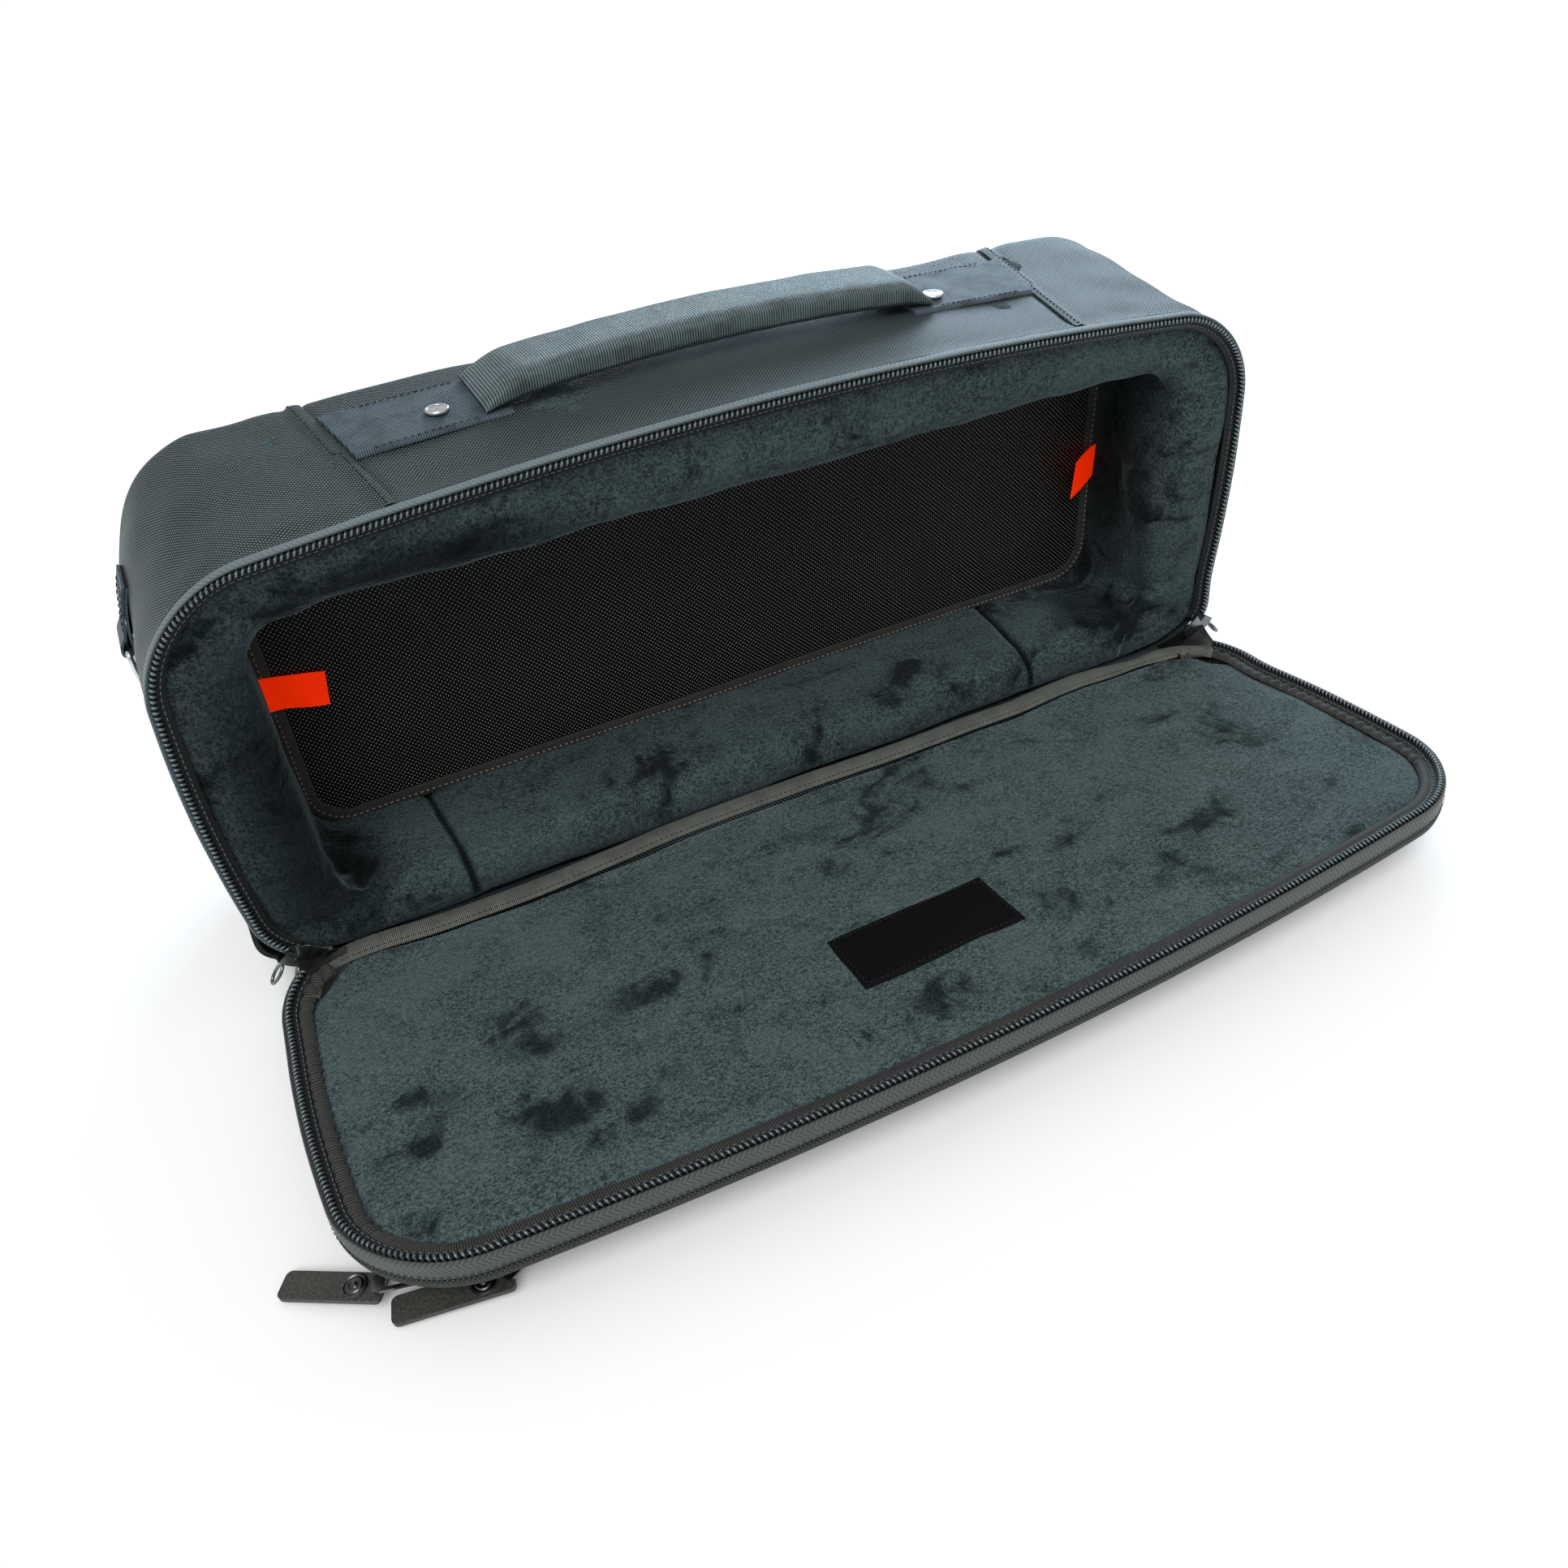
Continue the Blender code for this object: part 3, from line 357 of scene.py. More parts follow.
def lathe(name, centre, axis, profile, mat, segs=48, sharp=40.0):
    """A turned piece: profile is (radius, height) from the bottom centre out and up to the top centre."""
    axis = unit(axis)
    a = unit(np.cross(axis, [0.3, 0.9, 0.2]))
    b = np.cross(axis, a)
    w = 2 * PI * np.arange(segs) / segs
    pts, faces = [], []
    for r, h in profile:
        pts.append(np.asarray(centre) + axis * h + (a * np.cos(w)[:, None] + b * np.sin(w)[:, None]) * max(r, 0.02))
    k = len(profile)
    for i in range(k - 1):
        for j in range(segs):
            faces.append([i * segs + j, i * segs + (j + 1) % segs, (i + 1) * segs + (j + 1) % segs, (i + 1) * segs + j])
    faces.append(list(range(segs))[::-1])
    faces.append([(k - 1) * segs + j for j in range(segs)])
    return mesh_piece(name, np.concatenate(pts), faces, mat, None, sharp)


def joined(name, objs):
    """Several closed meshes as one piece."""
    bm = bmesh.new()
    mats = []
    for o in objs:
        me = o.data
        start = len(bm.faces)
        bm.from_mesh(me)
        bm.faces.ensure_lookup_table()
        for m in me.materials:
            if m not in mats:
                mats.append(m)
        here = mats.index(me.materials[0]) if me.materials else 0
        for f in bm.faces[start:]:
            f.material_index = here
    mesh = bpy.data.meshes.new(name)
    bm.to_mesh(mesh)
    bm.free()
    for m in mats:
        mesh.materials.append(m)
    for o in objs:
        bpy.data.objects.remove(o, do_unlink=True)
    obj = bpy.data.objects.new(name, mesh)
    bpy.context.scene.collection.objects.link(obj)
    return obj


def finish_piece(obj, body, nodes=(), blend=None):
    if blend:
        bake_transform(obj)
    else:
        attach(obj, body)
    if nodes:
        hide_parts(*nodes)
    return obj


def one_object(name, objs):
    """Closed meshes with UVs as one piece."""
    bpy.ops.object.select_all(action="DESELECT")
    for o in objs:
        o.select_set(True)
    bpy.context.view_layer.objects.active = objs[0]
    bpy.ops.object.join()
    objs[0].name = objs[0].data.name = name
    return objs[0]


# ---------------------------------------------------------------- materials


def lin(r, g, b):
    """sRGB 0-255 to linear."""
    out = []
    for v in (r, g, b):
        v /= 255.0
        out.append(v / 12.92 if v <= 0.04045 else ((v + 0.055) / 1.055) ** 2.4)
    return out


class Mat:
    """A small builder for procedural materials."""

    def __init__(self, name):
        self.mat = bpy.data.materials.new(name)
        self.mat.use_nodes = True
        self.tree = self.mat.node_tree
        self.bsdf = self.tree.nodes["Principled BSDF"]

    def put(self, socket, value):
        if isinstance(value, bpy.types.NodeSocket):
            self.tree.links.new(value, socket)
        elif isinstance(value, (list, tuple)) and socket.type == "RGBA" and len(value) == 3:
            socket.default_value = (*value, 1.0)
        else:
            socket.default_value = value

    def math(self, op, a, b=None, c=None, clamp=False):
        n = self.tree.nodes.new("ShaderNodeMath")
        n.operation = op
        n.use_clamp = clamp
        self.put(n.inputs[0], a)
        if b is not None:
            self.put(n.inputs[1], b)
        if c is not None:
            self.put(n.inputs[2], c)
        return n.outputs[0]

    def uv(self):
        n = self.tree.nodes.new("ShaderNodeUVMap")
        n.uv_map = "UVMap"
        return n.outputs[0]

    def obj(self):
        return self.tree.nodes.new("ShaderNodeTexCoord").outputs["Object"]

    def split(self, vec):
        n = self.tree.nodes.new("ShaderNodeSeparateXYZ")
        self.put(n.inputs[0], vec)
        return n.outputs

    def join(self, x, y, z=0.0):
        n = self.tree.nodes.new("ShaderNodeCombineXYZ")
        self.put(n.inputs[0], x)
        self.put(n.inputs[1], y)
        self.put(n.inputs[2], z)
        return n.outputs[0]

    def scale(self, vec, x, y, z):
        n = self.tree.nodes.new("ShaderNodeVectorMath")
        n.operation = "MULTIPLY"
        self.put(n.inputs[0], vec)
        n.inputs[1].default_value = (x, y, z)
        return n.outputs[0]

    def noise(self, vec, scale, detail=3.0, rough=0.55, warp=0.0):
        n = self.tree.nodes.new("ShaderNodeTexNoise")
        self.put(n.inputs["Vector"], vec)
        n.inputs["Scale"].default_value = scale
        n.inputs["Detail"].default_value = detail
        n.inputs["Roughness"].default_value = rough
        n.inputs["Distortion"].default_value = warp
        return n.outputs[0]

    def step(self, v, lo, hi):
        n = self.tree.nodes.new("ShaderNodeMapRange")
        n.interpolation_type = "SMOOTHSTEP"
        self.put(n.inputs["Value"], v)
        n.inputs["From Min"].default_value = lo
        n.inputs["From Max"].default_value = hi
        return n.outputs[0]

    def mix(self, f, a, b):
        n = self.tree.nodes.new("ShaderNodeMix")
        n.data_type = "RGBA"
        self.put(n.inputs[0], f)
        self.put(n.inputs[6], a)
        self.put(n.inputs[7], b)
        return n.outputs[2]

    def bump(self, height, distance, strength=1.0, normal=None):
        n = self.tree.nodes.new("ShaderNodeBump")
        n.inputs["Strength"].default_value = strength
        n.inputs["Distance"].default_value = distance
        self.put(n.inputs["Height"], height)
        if normal is not None:
            self.put(n.inputs["Normal"], normal)
        return n.outputs[0]

    def weave(self, cx, cy):
        """Basket weave from the piece's own UVs: height 0 to 1, and which way the upper thread runs."""
        x, y, _ = self.split(self.uv())
        x = self.math("DIVIDE", x, cx)
        y = self.math("DIVIDE", y, cy)
        fx, fy = self.math("FRACT", x), self.math("FRACT", y)
        par = self.math("FLOORED_MODULO", self.math("ADD", self.math("FLOOR", x), self.math("FLOOR", y)), 2.0)
        sx, sy = self.math("SINE", self.math("MULTIPLY", fx, PI)), self.math("SINE", self.math("MULTIPLY", fy, PI))
        h0 = self.math("MULTIPLY", sy, self.math("MULTIPLY_ADD", sx, 0.5, 0.5))
        h1 = self.math("MULTIPLY", sx, self.math("MULTIPLY_ADD", sy, 0.5, 0.5))
        h = self.math("ADD", self.math("MULTIPLY", h1, par), self.math("MULTIPLY", h0, self.math("SUBTRACT", 1.0, par)))
        return h, par

    def spots(self, p, rows):
        """1 at the middle of each place (x, y, z and a reach, in millimetres), 0 beyond its reach."""
        total = None
        for x, y, z, rx, ry, rz in rows:
            n = self.tree.nodes.new("ShaderNodeVectorMath")
            n.operation = "SUBTRACT"
            self.put(n.inputs[0], p)
            n.inputs[1].default_value = (x * 0.001, y * 0.001, z * 0.001)
            q = self.scale(n.outputs[0], 1000 / rx, 1000 / ry, 1000 / rz)
            n = self.tree.nodes.new("ShaderNodeVectorMath")
            n.operation = "LENGTH"
            self.put(n.inputs[0], q)
            here = self.step(n.outputs["Value"], 1.0, 0.2)
            total = here if total is None else self.math("MAXIMUM", total, here)
        return total

    def done(self, colour, rough=0.6, metal=0.0, sheen=0.0, sheen_rough=0.5, sheen_tint=(1, 1, 1), spec=0.5, coat=0.0, normal=None):
        b = self.bsdf
        self.put(b.inputs["Base Color"], colour)
        self.put(b.inputs["Roughness"], rough)
        b.inputs["Metallic"].default_value = metal
        b.inputs["Specular IOR Level"].default_value = spec
        b.inputs["Sheen Weight"].default_value = sheen
        b.inputs["Sheen Roughness"].default_value = sheen_rough
        b.inputs["Sheen Tint"].default_value = (*sheen_tint, 1.0)
        b.inputs["Coat Weight"].default_value = coat
        if normal is not None:
            self.put(b.inputs["Normal"], normal)
        return self.mat


def nylon(name, dark, light, cell, depth=0.0005, rough=0.5, sheen=0.15, blotch=0.0, low=0.3, spec=0.4, edge=(0.25, 0.9)):
    """Basket weave whose upper threads stand out as staggered points. The light points are partly painted highlights on
    the thread tops, and the near-black between them is partly painted shade between the threads.
    """
    m = Mat(name)
    x, y, _ = m.split(m.uv())
    x = m.math("DIVIDE", x, cell)
    y = m.math("DIVIDE", y, cell)
    fx, fy = m.math("FRACT", x), m.math("FRACT", y)
    par = m.math("FLOORED_MODULO", m.math("ADD", m.math("FLOOR", x), m.math("FLOOR", y)), 2.0)
    dot = m.math("MULTIPLY", m.math("SINE", m.math("MULTIPLY", fx, PI)), m.math("SINE", m.math("MULTIPLY", fy, PI)))
    h = m.math("MULTIPLY", dot, m.math("MULTIPLY_ADD", par, 1 - low, low))
    fibre = m.noise(m.uv(), 2600, 2.0)
    body = m.step(h, *edge)
    tone = m.math("MULTIPLY", body, m.math("MULTIPLY_ADD", fibre, 0.7, 0.65))
    if blotch:
        tone = m.math("MULTIPLY", tone, m.math("MULTIPLY_ADD", m.noise(m.uv(), 22, 3), blotch, 1 - blotch / 2))
    colour = m.mix(tone, dark, light)
    return m.done(colour, rough=m.math("MULTIPLY_ADD", body, -0.14, rough + 0.1), sheen=sheen, sheen_rough=0.4, sheen_tint=(0.75, 0.9, 1.0), spec=spec, normal=m.bump(h, depth, 0.85))


def plush(name, base, dark, light, lo=0.545, sheen=0.5, marks=(), painted_shade_spots=(), pull=0.09, amount=0.85, seams=()):
    """Brushed fleece: fine pile, with darker patches where the pile lies the other way.
    marks are places with many patches; painted_shade_spots are places darkened all over with painted shade (the left
    wall, the right wall's inner face, the corners and the ceiling);
    seams are grooves where the floor's lining is sewn, darkened in colour with painted shade: x = a + b y below a
    height."""
    m = Mat(name)
    p = m.obj()
    q = m.scale(p, 1.0, 1.45, 1.6)
    patch = m.noise(q, 20, 3, 0.55, 1.0)
    patch2 = m.noise(m.scale(p, 1.5, 0.9, 1.1), 75, 3, 0.6, 0.8)
    sweep = m.noise(p, 7, 2, 0.5, 0.6)
    pile = m.noise(p, 900, 2, 0.7)
    mid = m.noise(m.scale(p, 1.0, 1.5, 0.8), 420, 2, 0.6)
    total = m.math("ADD", m.math("MULTIPLY", patch, 0.62), m.math("ADD", m.math("MULTIPLY", patch2, 0.26), m.math("MULTIPLY", sweep, 0.12)))
    ragged = m.math("ADD", total, m.math("MULTIPLY_ADD", mid, 0.09, -0.045))
    if marks:
        ragged = m.math("ADD", ragged, m.math("MULTIPLY", m.spots(p, marks), pull))
    blot = m.step(ragged, lo - 0.015, lo + 0.12)
    pale = m.step(ragged, 0.50, 0.42)
    flecks = m.step(m.math("ADD", m.math("MULTIPLY", pile, 0.65), m.math("MULTIPLY", mid, 0.35)), 0.36, 0.66)
    tone = m.mix(flecks, base, light)
    tone = m.mix(m.math("MULTIPLY", pale, 0.25), tone, light)
    # painted shade: darkens the fleece towards the dark colour at the listed places
    if painted_shade_spots:
        tone = m.mix(m.math("MULTIPLY", m.spots(p, painted_shade_spots), 0.85), tone, dark)
    colour = m.mix(m.math("MULTIPLY", blot, amount), tone, dark)
    # painted shade: the floor's seam grooves are darkened in colour, below a height
    if seams:
        x, y, z = m.split(p)
        low = m.step(z, 0.056, 0.050)
        for a, b in seams:
            d = m.math("ABSOLUTE", m.math("SUBTRACT", m.math("MULTIPLY_ADD", y, b, a), x))
            colour = m.mix(m.math("MULTIPLY", m.step(d, 0.0034, 0.0008), m.math("MULTIPLY", low, 0.9)), colour, [c * 0.35 for c in dark])
    n1 = m.bump(mid, 0.0010, 0.5)
    n2 = m.bump(pile, 0.0007, 0.8, n1)
    n3 = m.bump(m.math("SUBTRACT", 1.0, blot), 0.0016, 0.4, n2)
    return m.done(colour, rough=0.95, sheen=sheen, sheen_rough=0.3, sheen_tint=(0.55, 0.72, 0.76), spec=0.08, normal=n3)


def ribbed(name, dark, light, pitch, axis=0, depth=0.0003, rough=0.55, sheen=0.2, worn=0.3, spec=0.3, painted_glow=0.0):
    """Ribs across a ribbon: axis 0 repeats along the piece."""
    m = Mat(name)
    c = m.split(m.uv())
    t = m.math("DIVIDE", c[axis], pitch)
    h = m.math("ABSOLUTE", m.math("SINE", m.math("MULTIPLY", t, PI)))
    grain = m.noise(m.scale(m.uv(), 1.0, 1.0, 1.0), 1400, 3)
    wear = m.step(m.noise(m.uv(), 75, 4, 0.65), 0.3, 0.7)
    tone = m.math("MULTIPLY", m.step(h, 0.15, 0.95), m.math("MULTIPLY_ADD", grain, 0.5, 0.7))
    tone = m.math("MULTIPLY", tone, m.math("MULTIPLY_ADD", wear, worn, 1 - worn / 2))
    # painted glow: emission brightens the ribbon beyond what the lamps give, though it is no lamp
    if painted_glow:
        m.bsdf.inputs["Emission Color"].default_value = (*light, 1.0)
        m.bsdf.inputs["Emission Strength"].default_value = painted_glow
    return m.done(m.mix(tone, dark, light), rough=rough, sheen=sheen, sheen_rough=0.4, sheen_tint=(0.75, 0.9, 1.0), spec=spec, normal=m.bump(h, depth, 0.7))


def tape_mat(name, dark, light, centre, pitch=0.0024):
    """Woven tape with small chevrons along its middle."""
    m = Mat(name)
    x, y, _ = m.split(m.uv())
    v = m.math("ABSOLUTE", m.math("SUBTRACT", y, centre))
    t = m.math("DIVIDE", m.math("ADD", x, m.math("MULTIPLY", v, 0.9)), pitch)
    ridge = m.math("SINE", m.math("MULTIPLY", t, 2 * PI))
    inside = m.step(v, 0.0034, 0.0026)
    h = m.math("MULTIPLY", ridge, inside)
    fine = m.math("SINE", m.math("MULTIPLY", x, 2 * PI / 0.0007))
    grain = m.noise(m.uv(), 1800, 2)
    tone = m.math("ADD", m.math("MULTIPLY_ADD", h, 0.25, 0.5), m.math("MULTIPLY_ADD", grain, 0.5, -0.25))
    tone = m.math("ADD", tone, m.math("MULTIPLY", fine, 0.06))
    return m.done(m.mix(tone, dark, light), rough=0.55, sheen=0.1, spec=0.35, normal=m.bump(m.math("ADD", h, m.math("MULTIPLY", grain, 0.6)), 0.0003, 0.6))


def plain(name, colour, rough, metal=0.0, scale=400.0, amount=0.12, bump=0.00005, **extra):
    m = Mat(name)
    g = m.noise(m.obj(), scale, 3)
    shade = m.mix(m.step(g, 0.3, 0.7), [c * (1 - amount) for c in colour], [min(1.0, c * (1 + amount)) for c in colour])
    return m.done(shade, rough=m.math("MULTIPLY_ADD", g, 0.12, rough - 0.06), metal=metal, normal=m.bump(g, bump, 0.6), **extra)


M = {}
M["top"] = nylon("ballistic_nylon", lin(2, 4, 5), lin(118, 144, 148), 0.00102, depth=0.0007, rough=0.42, sheen=0.03, blotch=0.5, low=0.0, spec=0.4, edge=(0.25, 0.85))
# painted shade: the lid's nylon is a darker copy of the case's ballistic nylon
M["lid_out"] = nylon("ballistic_nylon_lid_painted_shade", lin(3, 4, 4), lin(84, 92, 90), 0.00098, depth=0.0007, rough=0.5, sheen=0.03, blotch=0.4, low=0.0, spec=0.3, edge=(0.25, 0.85))
# painted highlights: the divider's nylon is black, and its light dots stand in for highlights on the weave
M["divider"] = nylon("divider_nylon", lin(1, 1, 1), lin(150, 154, 152), 0.00135, depth=0.0005, rough=0.5, sheen=0.0, blotch=0.5, low=0.0, spec=0.15, edge=(0.5, 0.95))
FLOOR_MARKS = [(-70, -34, 37, 70, 20, 20), (93, -36, 37, 50, 18, 20), (-20, -66, 37, 60, 12, 20)]
# painted light and shade: the lid's fleece is a lighter copy, and the room's and rear lining's fleece a darker copy, of
# one fleece
M["plush_lid"] = plush("plush_fleece_lid_painted_light", lin(36, 46, 48), lin(8, 13, 14), lin(88, 103, 104), lo=0.545, sheen=0.4, marks=[
    (-198, -226, 34, 40, 34, 20), (-196, -171, 28, 30, 34, 20), (-246, -195, 31, 18, 44, 20), (-136, -180, 29, 44, 20, 20), (-35, -260, 39, 34, 24, 20),
    (75, -233, 35, 40, 28, 20), (150, -222, 34, 40, 16, 20), (-35, -113, 20, 60, 10, 20), (-245, -249, 37, 30, 16, 20), (-214, -127, 22, 30, 18, 20), (0, -205, 35, 34, 14, 20)])
# painted shade: painted_shade_spots darken the left wall, the right wall's inner face, the corners and the ceiling
M["plush_walls"] = plush("plush_fleece_walls_painted_shade", lin(27, 35, 37), lin(4, 7, 8), lin(74, 88, 90), lo=0.535, sheen=0.35, pull=0.09, seams=[(-0.18872, -0.0629), (0.16858, 0.0839)], marks=FLOOR_MARKS + [
    (-168, -54, 198, 80, 30, 30), (-210, -56, 194, 50, 30, 30), (224, -44, 37, 36, 34, 20), (-227, -34, 37, 34, 40, 20), (-200, -60, 37, 30, 16, 20), (248, -38, 115, 14, 22, 60)],
    painted_shade_spots=[(-258, -44, 110, 40, 64, 150), (-258, -44, 60, 40, 64, 60), (-246, -40, 40, 40, 50, 40), (250, -14, 120, 20, 36, 110), (236, -20, 186, 40, 40, 30), (-240, -20, 190, 40, 34, 34), (-170, -56, 200, 110, 30, 26), (226, -32, 37, 34, 40, 22), (0, 0, 196, 230, 16, 16)])
M["plush"] = M["plush_walls"]
M["tape"] = tape_mat("zip_tape_cloth", lin(70, 80, 82), lin(112, 126, 130), 0.0042)
# painted shade: the lid's half of the zip tape is a darker copy of the case's tape
M["tape_lid"] = tape_mat("zip_tape_lid_painted_shade", lin(24, 28, 27), lin(82, 90, 85), 0.0042)
M["tape_dark"] = tape_mat("zip_tape_inner", lin(3, 4, 4), lin(12, 14, 14), 0.0022)
M["coil"] = plain("zip_coil_plastic", lin(84, 98, 102), 0.24, 0.6, amount=0.2, spec=0.8, coat=0.8)
M["core"] = plain("zip_core", lin(3, 3, 3), 0.6, amount=0.2, spec=0.2)
M["grosgrain"] = ribbed("grosgrain_binding", lin(44, 45, 41), lin(108, 111, 103), 0.0010, depth=0.0003, spec=0.12, sheen=0.1, worn=0.6)
M["grosgrain_dark"] = ribbed("grosgrain_dark", lin(9, 9, 8), lin(66, 65, 60), 0.0011, depth=0.0004, spec=0.25, sheen=0.1)
M["webbing"] = ribbed("webbing_strap", lin(10, 14, 17), lin(74, 90, 100), 0.0011, depth=0.0003, sheen=0.06, worn=1.0)
M["grip"] = ribbed("grip_webbing", lin(3, 4, 4), lin(98, 114, 117), 0.0013, depth=0.0006, rough=0.5, sheen=0.05, worn=0.7, spec=0.35)
# painted glow: the satin ribbon emits light though it is no lamp
M["ribbon"] = ribbed("satin_ribbon", (0.85, 0.006, 0.0), (1.0, 0.03, 0.0), 0.0006, depth=0.0001, rough=0.5, sheen=0.0, worn=0.3, spec=0.1, painted_glow=0.42)
M["satin"] = plain("gusset_satin", lin(8, 8, 8), 0.4, scale=900, bump=0.0001, spec=0.35)
M["thread"] = plain("sewing_thread", lin(150, 152, 146), 0.5, scale=2500, bump=0.0001)
M["thread_coil"] = plain("sewing_thread_coil", lin(84, 100, 100), 0.45, scale=2500, bump=0.0001)
M["thread_dark"] = plain("sewing_thread_dark", lin(12, 14, 15), 0.5, scale=2500, bump=0.0001)
M["chrome"] = plain("bright_steel", (0.66, 0.67, 0.68), 0.2, 1.0, scale=300, amount=0.05, bump=0.00001)
M["gun"] = plain("gunmetal", (0.09, 0.095, 0.095), 0.3, 1.0, scale=500, amount=0.15, bump=0.00002)
M["gun_light"] = plain("gunmetal_light", (0.17, 0.18, 0.18), 0.26, 1.0, scale=500, amount=0.12, bump=0.00002)
M["rubber"] = plain("pull_rubber", lin(54, 54, 50), 0.55, scale=900, amount=0.45, bump=0.00015)
M["patch"] = nylon("patch_satin", lin(2, 2, 2), lin(13, 14, 15), 0.0006, depth=0.0001, rough=0.62, sheen=0.0, spec=0.15)


# ---------------------------------------------------------------- outer shell
BACK_A = np.radians(np.linspace(0, 90, 11))


def depth_path(y0, skin):
    """(inset, y) from the zip tape round the back edge, for the outer skin or for one that lies deeper."""
    ys = np.concatenate([np.linspace(y0, FOOT_Y, 9)[:-1], np.linspace(FOOT_Y, DEPTH - R_BACK, 34)[:-1]])
    r = R_BACK - skin
    inset = np.concatenate([np.full(len(ys), skin), R_BACK - r * np.cos(BACK_A)])
    y = np.concatenate([ys, DEPTH - R_BACK + r * np.sin(BACK_A)])
    return inset, y


def push(outer, inner, amount):
    """Moves the outer skin along the way from the inner one."""
    return outer + unit(outer - inner) * amount[..., None]


def shell_top():
    f = np.linspace(0, 1, 241)
    rings = []
    for skin in (0.0, 2.0):
        inset, y = depth_path(6.6, skin)
        right = seam_u(y, -0.15)
        u = right[None] + (5.0 - 2 * right)[None] * f[:, None]
        rings.append(shell(u, inset[None], y[None]))
    outer, inner = rings
    along = np.linalg.norm(np.diff(outer, axis=0), axis=-1).sum(0)
    d = np.minimum(f[:, None], 1 - f[:, None]) * along[None]
    soft = 0.9 * wave(outer, 95, 3) + 0.45 * wave(outer, 38, 4)
    front = np.exp(-((outer[..., 1] - 34) / 16) ** 2) * np.exp(-(outer[..., 0] / 135) ** 2)
    amount = soft * smooth01(d / 18) + 1.6 * front * (0.6 + 0.4 * wave(outer, 60, 5)) - 1.1 * np.exp(-((d / 2.2) ** 2))
    amount *= smooth01((outer[..., 1] - 7) / 12)
    o = slab("top_cover", push(outer, inner, amount), inner, M["top"])
    return finish_piece(o, "case_body", ["top_panel"])


def end_grid(side, skin):
    u = np.concatenate([np.linspace(-0.78, 2.0, 130), np.linspace(2.0, 2.14, 22)[1:]])
    inset, y = depth_path(6.6, skin)
    uu = np.repeat(u[:, None], len(y), 1)
    seam = seam_u(y, 0.15)[None]
    uu = np.where(uu > 2.0, 2.0 + (uu - 2.0) * (seam - 2.0) / 0.14, uu)
    p = shell(uu, inset[None], y[None])
    p[..., 0] *= side
    return p


def shell_ends():
    for side, name in ((1, "right"), (-1, "left")):
        outer, inner = end_grid(side, 0.0), end_grid(side, 2.0)
        back = np.linalg.norm(np.diff(outer[::-1], axis=0), axis=-1)
        d = np.concatenate([np.zeros((1, outer.shape[1])), np.cumsum(back, 0)])[::-1]
        soft = 1.0 * wave(outer, 80, 11 + side) + 0.5 * wave(outer, 34, 14 + side)
        fold = 0.95 * smooth01((6.2 - d) / 1.6) * smooth01((d + 0.6) / 1.2)
        amount = soft * smooth01((d - 4) / 18) * smooth01((outer[..., 1] - 7) / 12) + fold - 0.5 * np.exp(-(((d - 8.0) / 2.0) ** 2))
        skin = push(outer, inner, amount)
        o = slab(f"end_cover_{name}", skin, inner, M["top"])
        finish_piece(o, "case_body", [f"{name}_end_panel"])
        # the row of stitches that holds the folded edge
        for k, off in enumerate((4.1,)):
            line, nor = [], []
            for j in range(skin.shape[1] - 4):
                i = int(np.argmin(np.abs(d[:, j] - off)))
                line.append(skin[i, j])
                nor.append(outer[i, j] - inner[i, j])
            st = stitches(f"end_seam_stitches_{name}", np.array(line), unit(np.array(nor)), M["thread_dark"], pitch=3.6, length=2.6, width=0.7, height=0.5)
            finish_piece(st, "case_body")


def shell_bottom_back():
    u = np.linspace(5.785, 7.215, 90)
    rings = []
    for skin in (0.0, 2.0):
        inset, y = depth_path(6.6, skin)
        rings.append(shell(u[:, None], inset[None], y[None]))
    o = slab("bottom_cover", rings[0], rings[1], M["top"])
    finish_piece(o, "case_body", ["bottom_panel"])
    # back panel: a disc of rings closing in on the middle line
    u = np.linspace(0, 8, 321)[:-1]
    rim = shell(u, R_BACK + 0.35, DEPTH)
    mid = np.stack([np.clip(rim[:, 0], -170, 170), rim[:, 1] * 0 + DEPTH, 112 + 0 * rim[:, 2]], -1)
    t = np.linspace(0, 1, 34)[None, :, None]
    skin = rim[:, None] * (1 - t) + mid[:, None] * t
    bulge = 1.2 * wave(skin, 90, 21) * smooth01(t[..., 0] * 4) + 2.2 * smooth01(t[..., 0] * 2.2) - 0.6 * np.exp(-((t[..., 0] * 40) ** 2))
    outer = skin + np.array([0, 1.0, 0]) * bulge[..., None]
    inner = skin - np.array([0, 2.0, 0])
    uv = np.stack([outer[..., 0], outer[..., 2]], -1) * 0.001
    uv = np.concatenate([uv, uv[:1]], 0)
    o = slab("back_cover", outer, inner, M["top"], closed=True, uv=uv)
    bm = bmesh.new()
    bm.from_mesh(o.data)
    bmesh.ops.remove_doubles(bm, verts=bm.verts, dist=1e-5)
    bm.to_mesh(o.data)
    bm.free()
    finish_piece(o, "case_body", ["back_panel"])
    # piping round the back panel
    line = shell(u, R_BACK - 0.4, DEPTH - 0.1)
    o = tube("back_piping", resample(np.concatenate([line, line[:1]]), 3.0)[:-1], 1.5, M["grosgrain_dark"], sides=10, closed=True)
    finish_piece(o, "case_body")


# ---------------------------------------------------------------- zip
RUN = np.concatenate([np.linspace(-0.5, 5.5, 900)])


def even_run(place, start, end, step):
    """Stations of about equal spacing in millimetres."""
    u = np.linspace(start, end, 3000)
    s = arc_len(place(u))
    n = int(s[-1] / step) + 1
    return np.interp(np.linspace(0, s[-1], n), s, u)


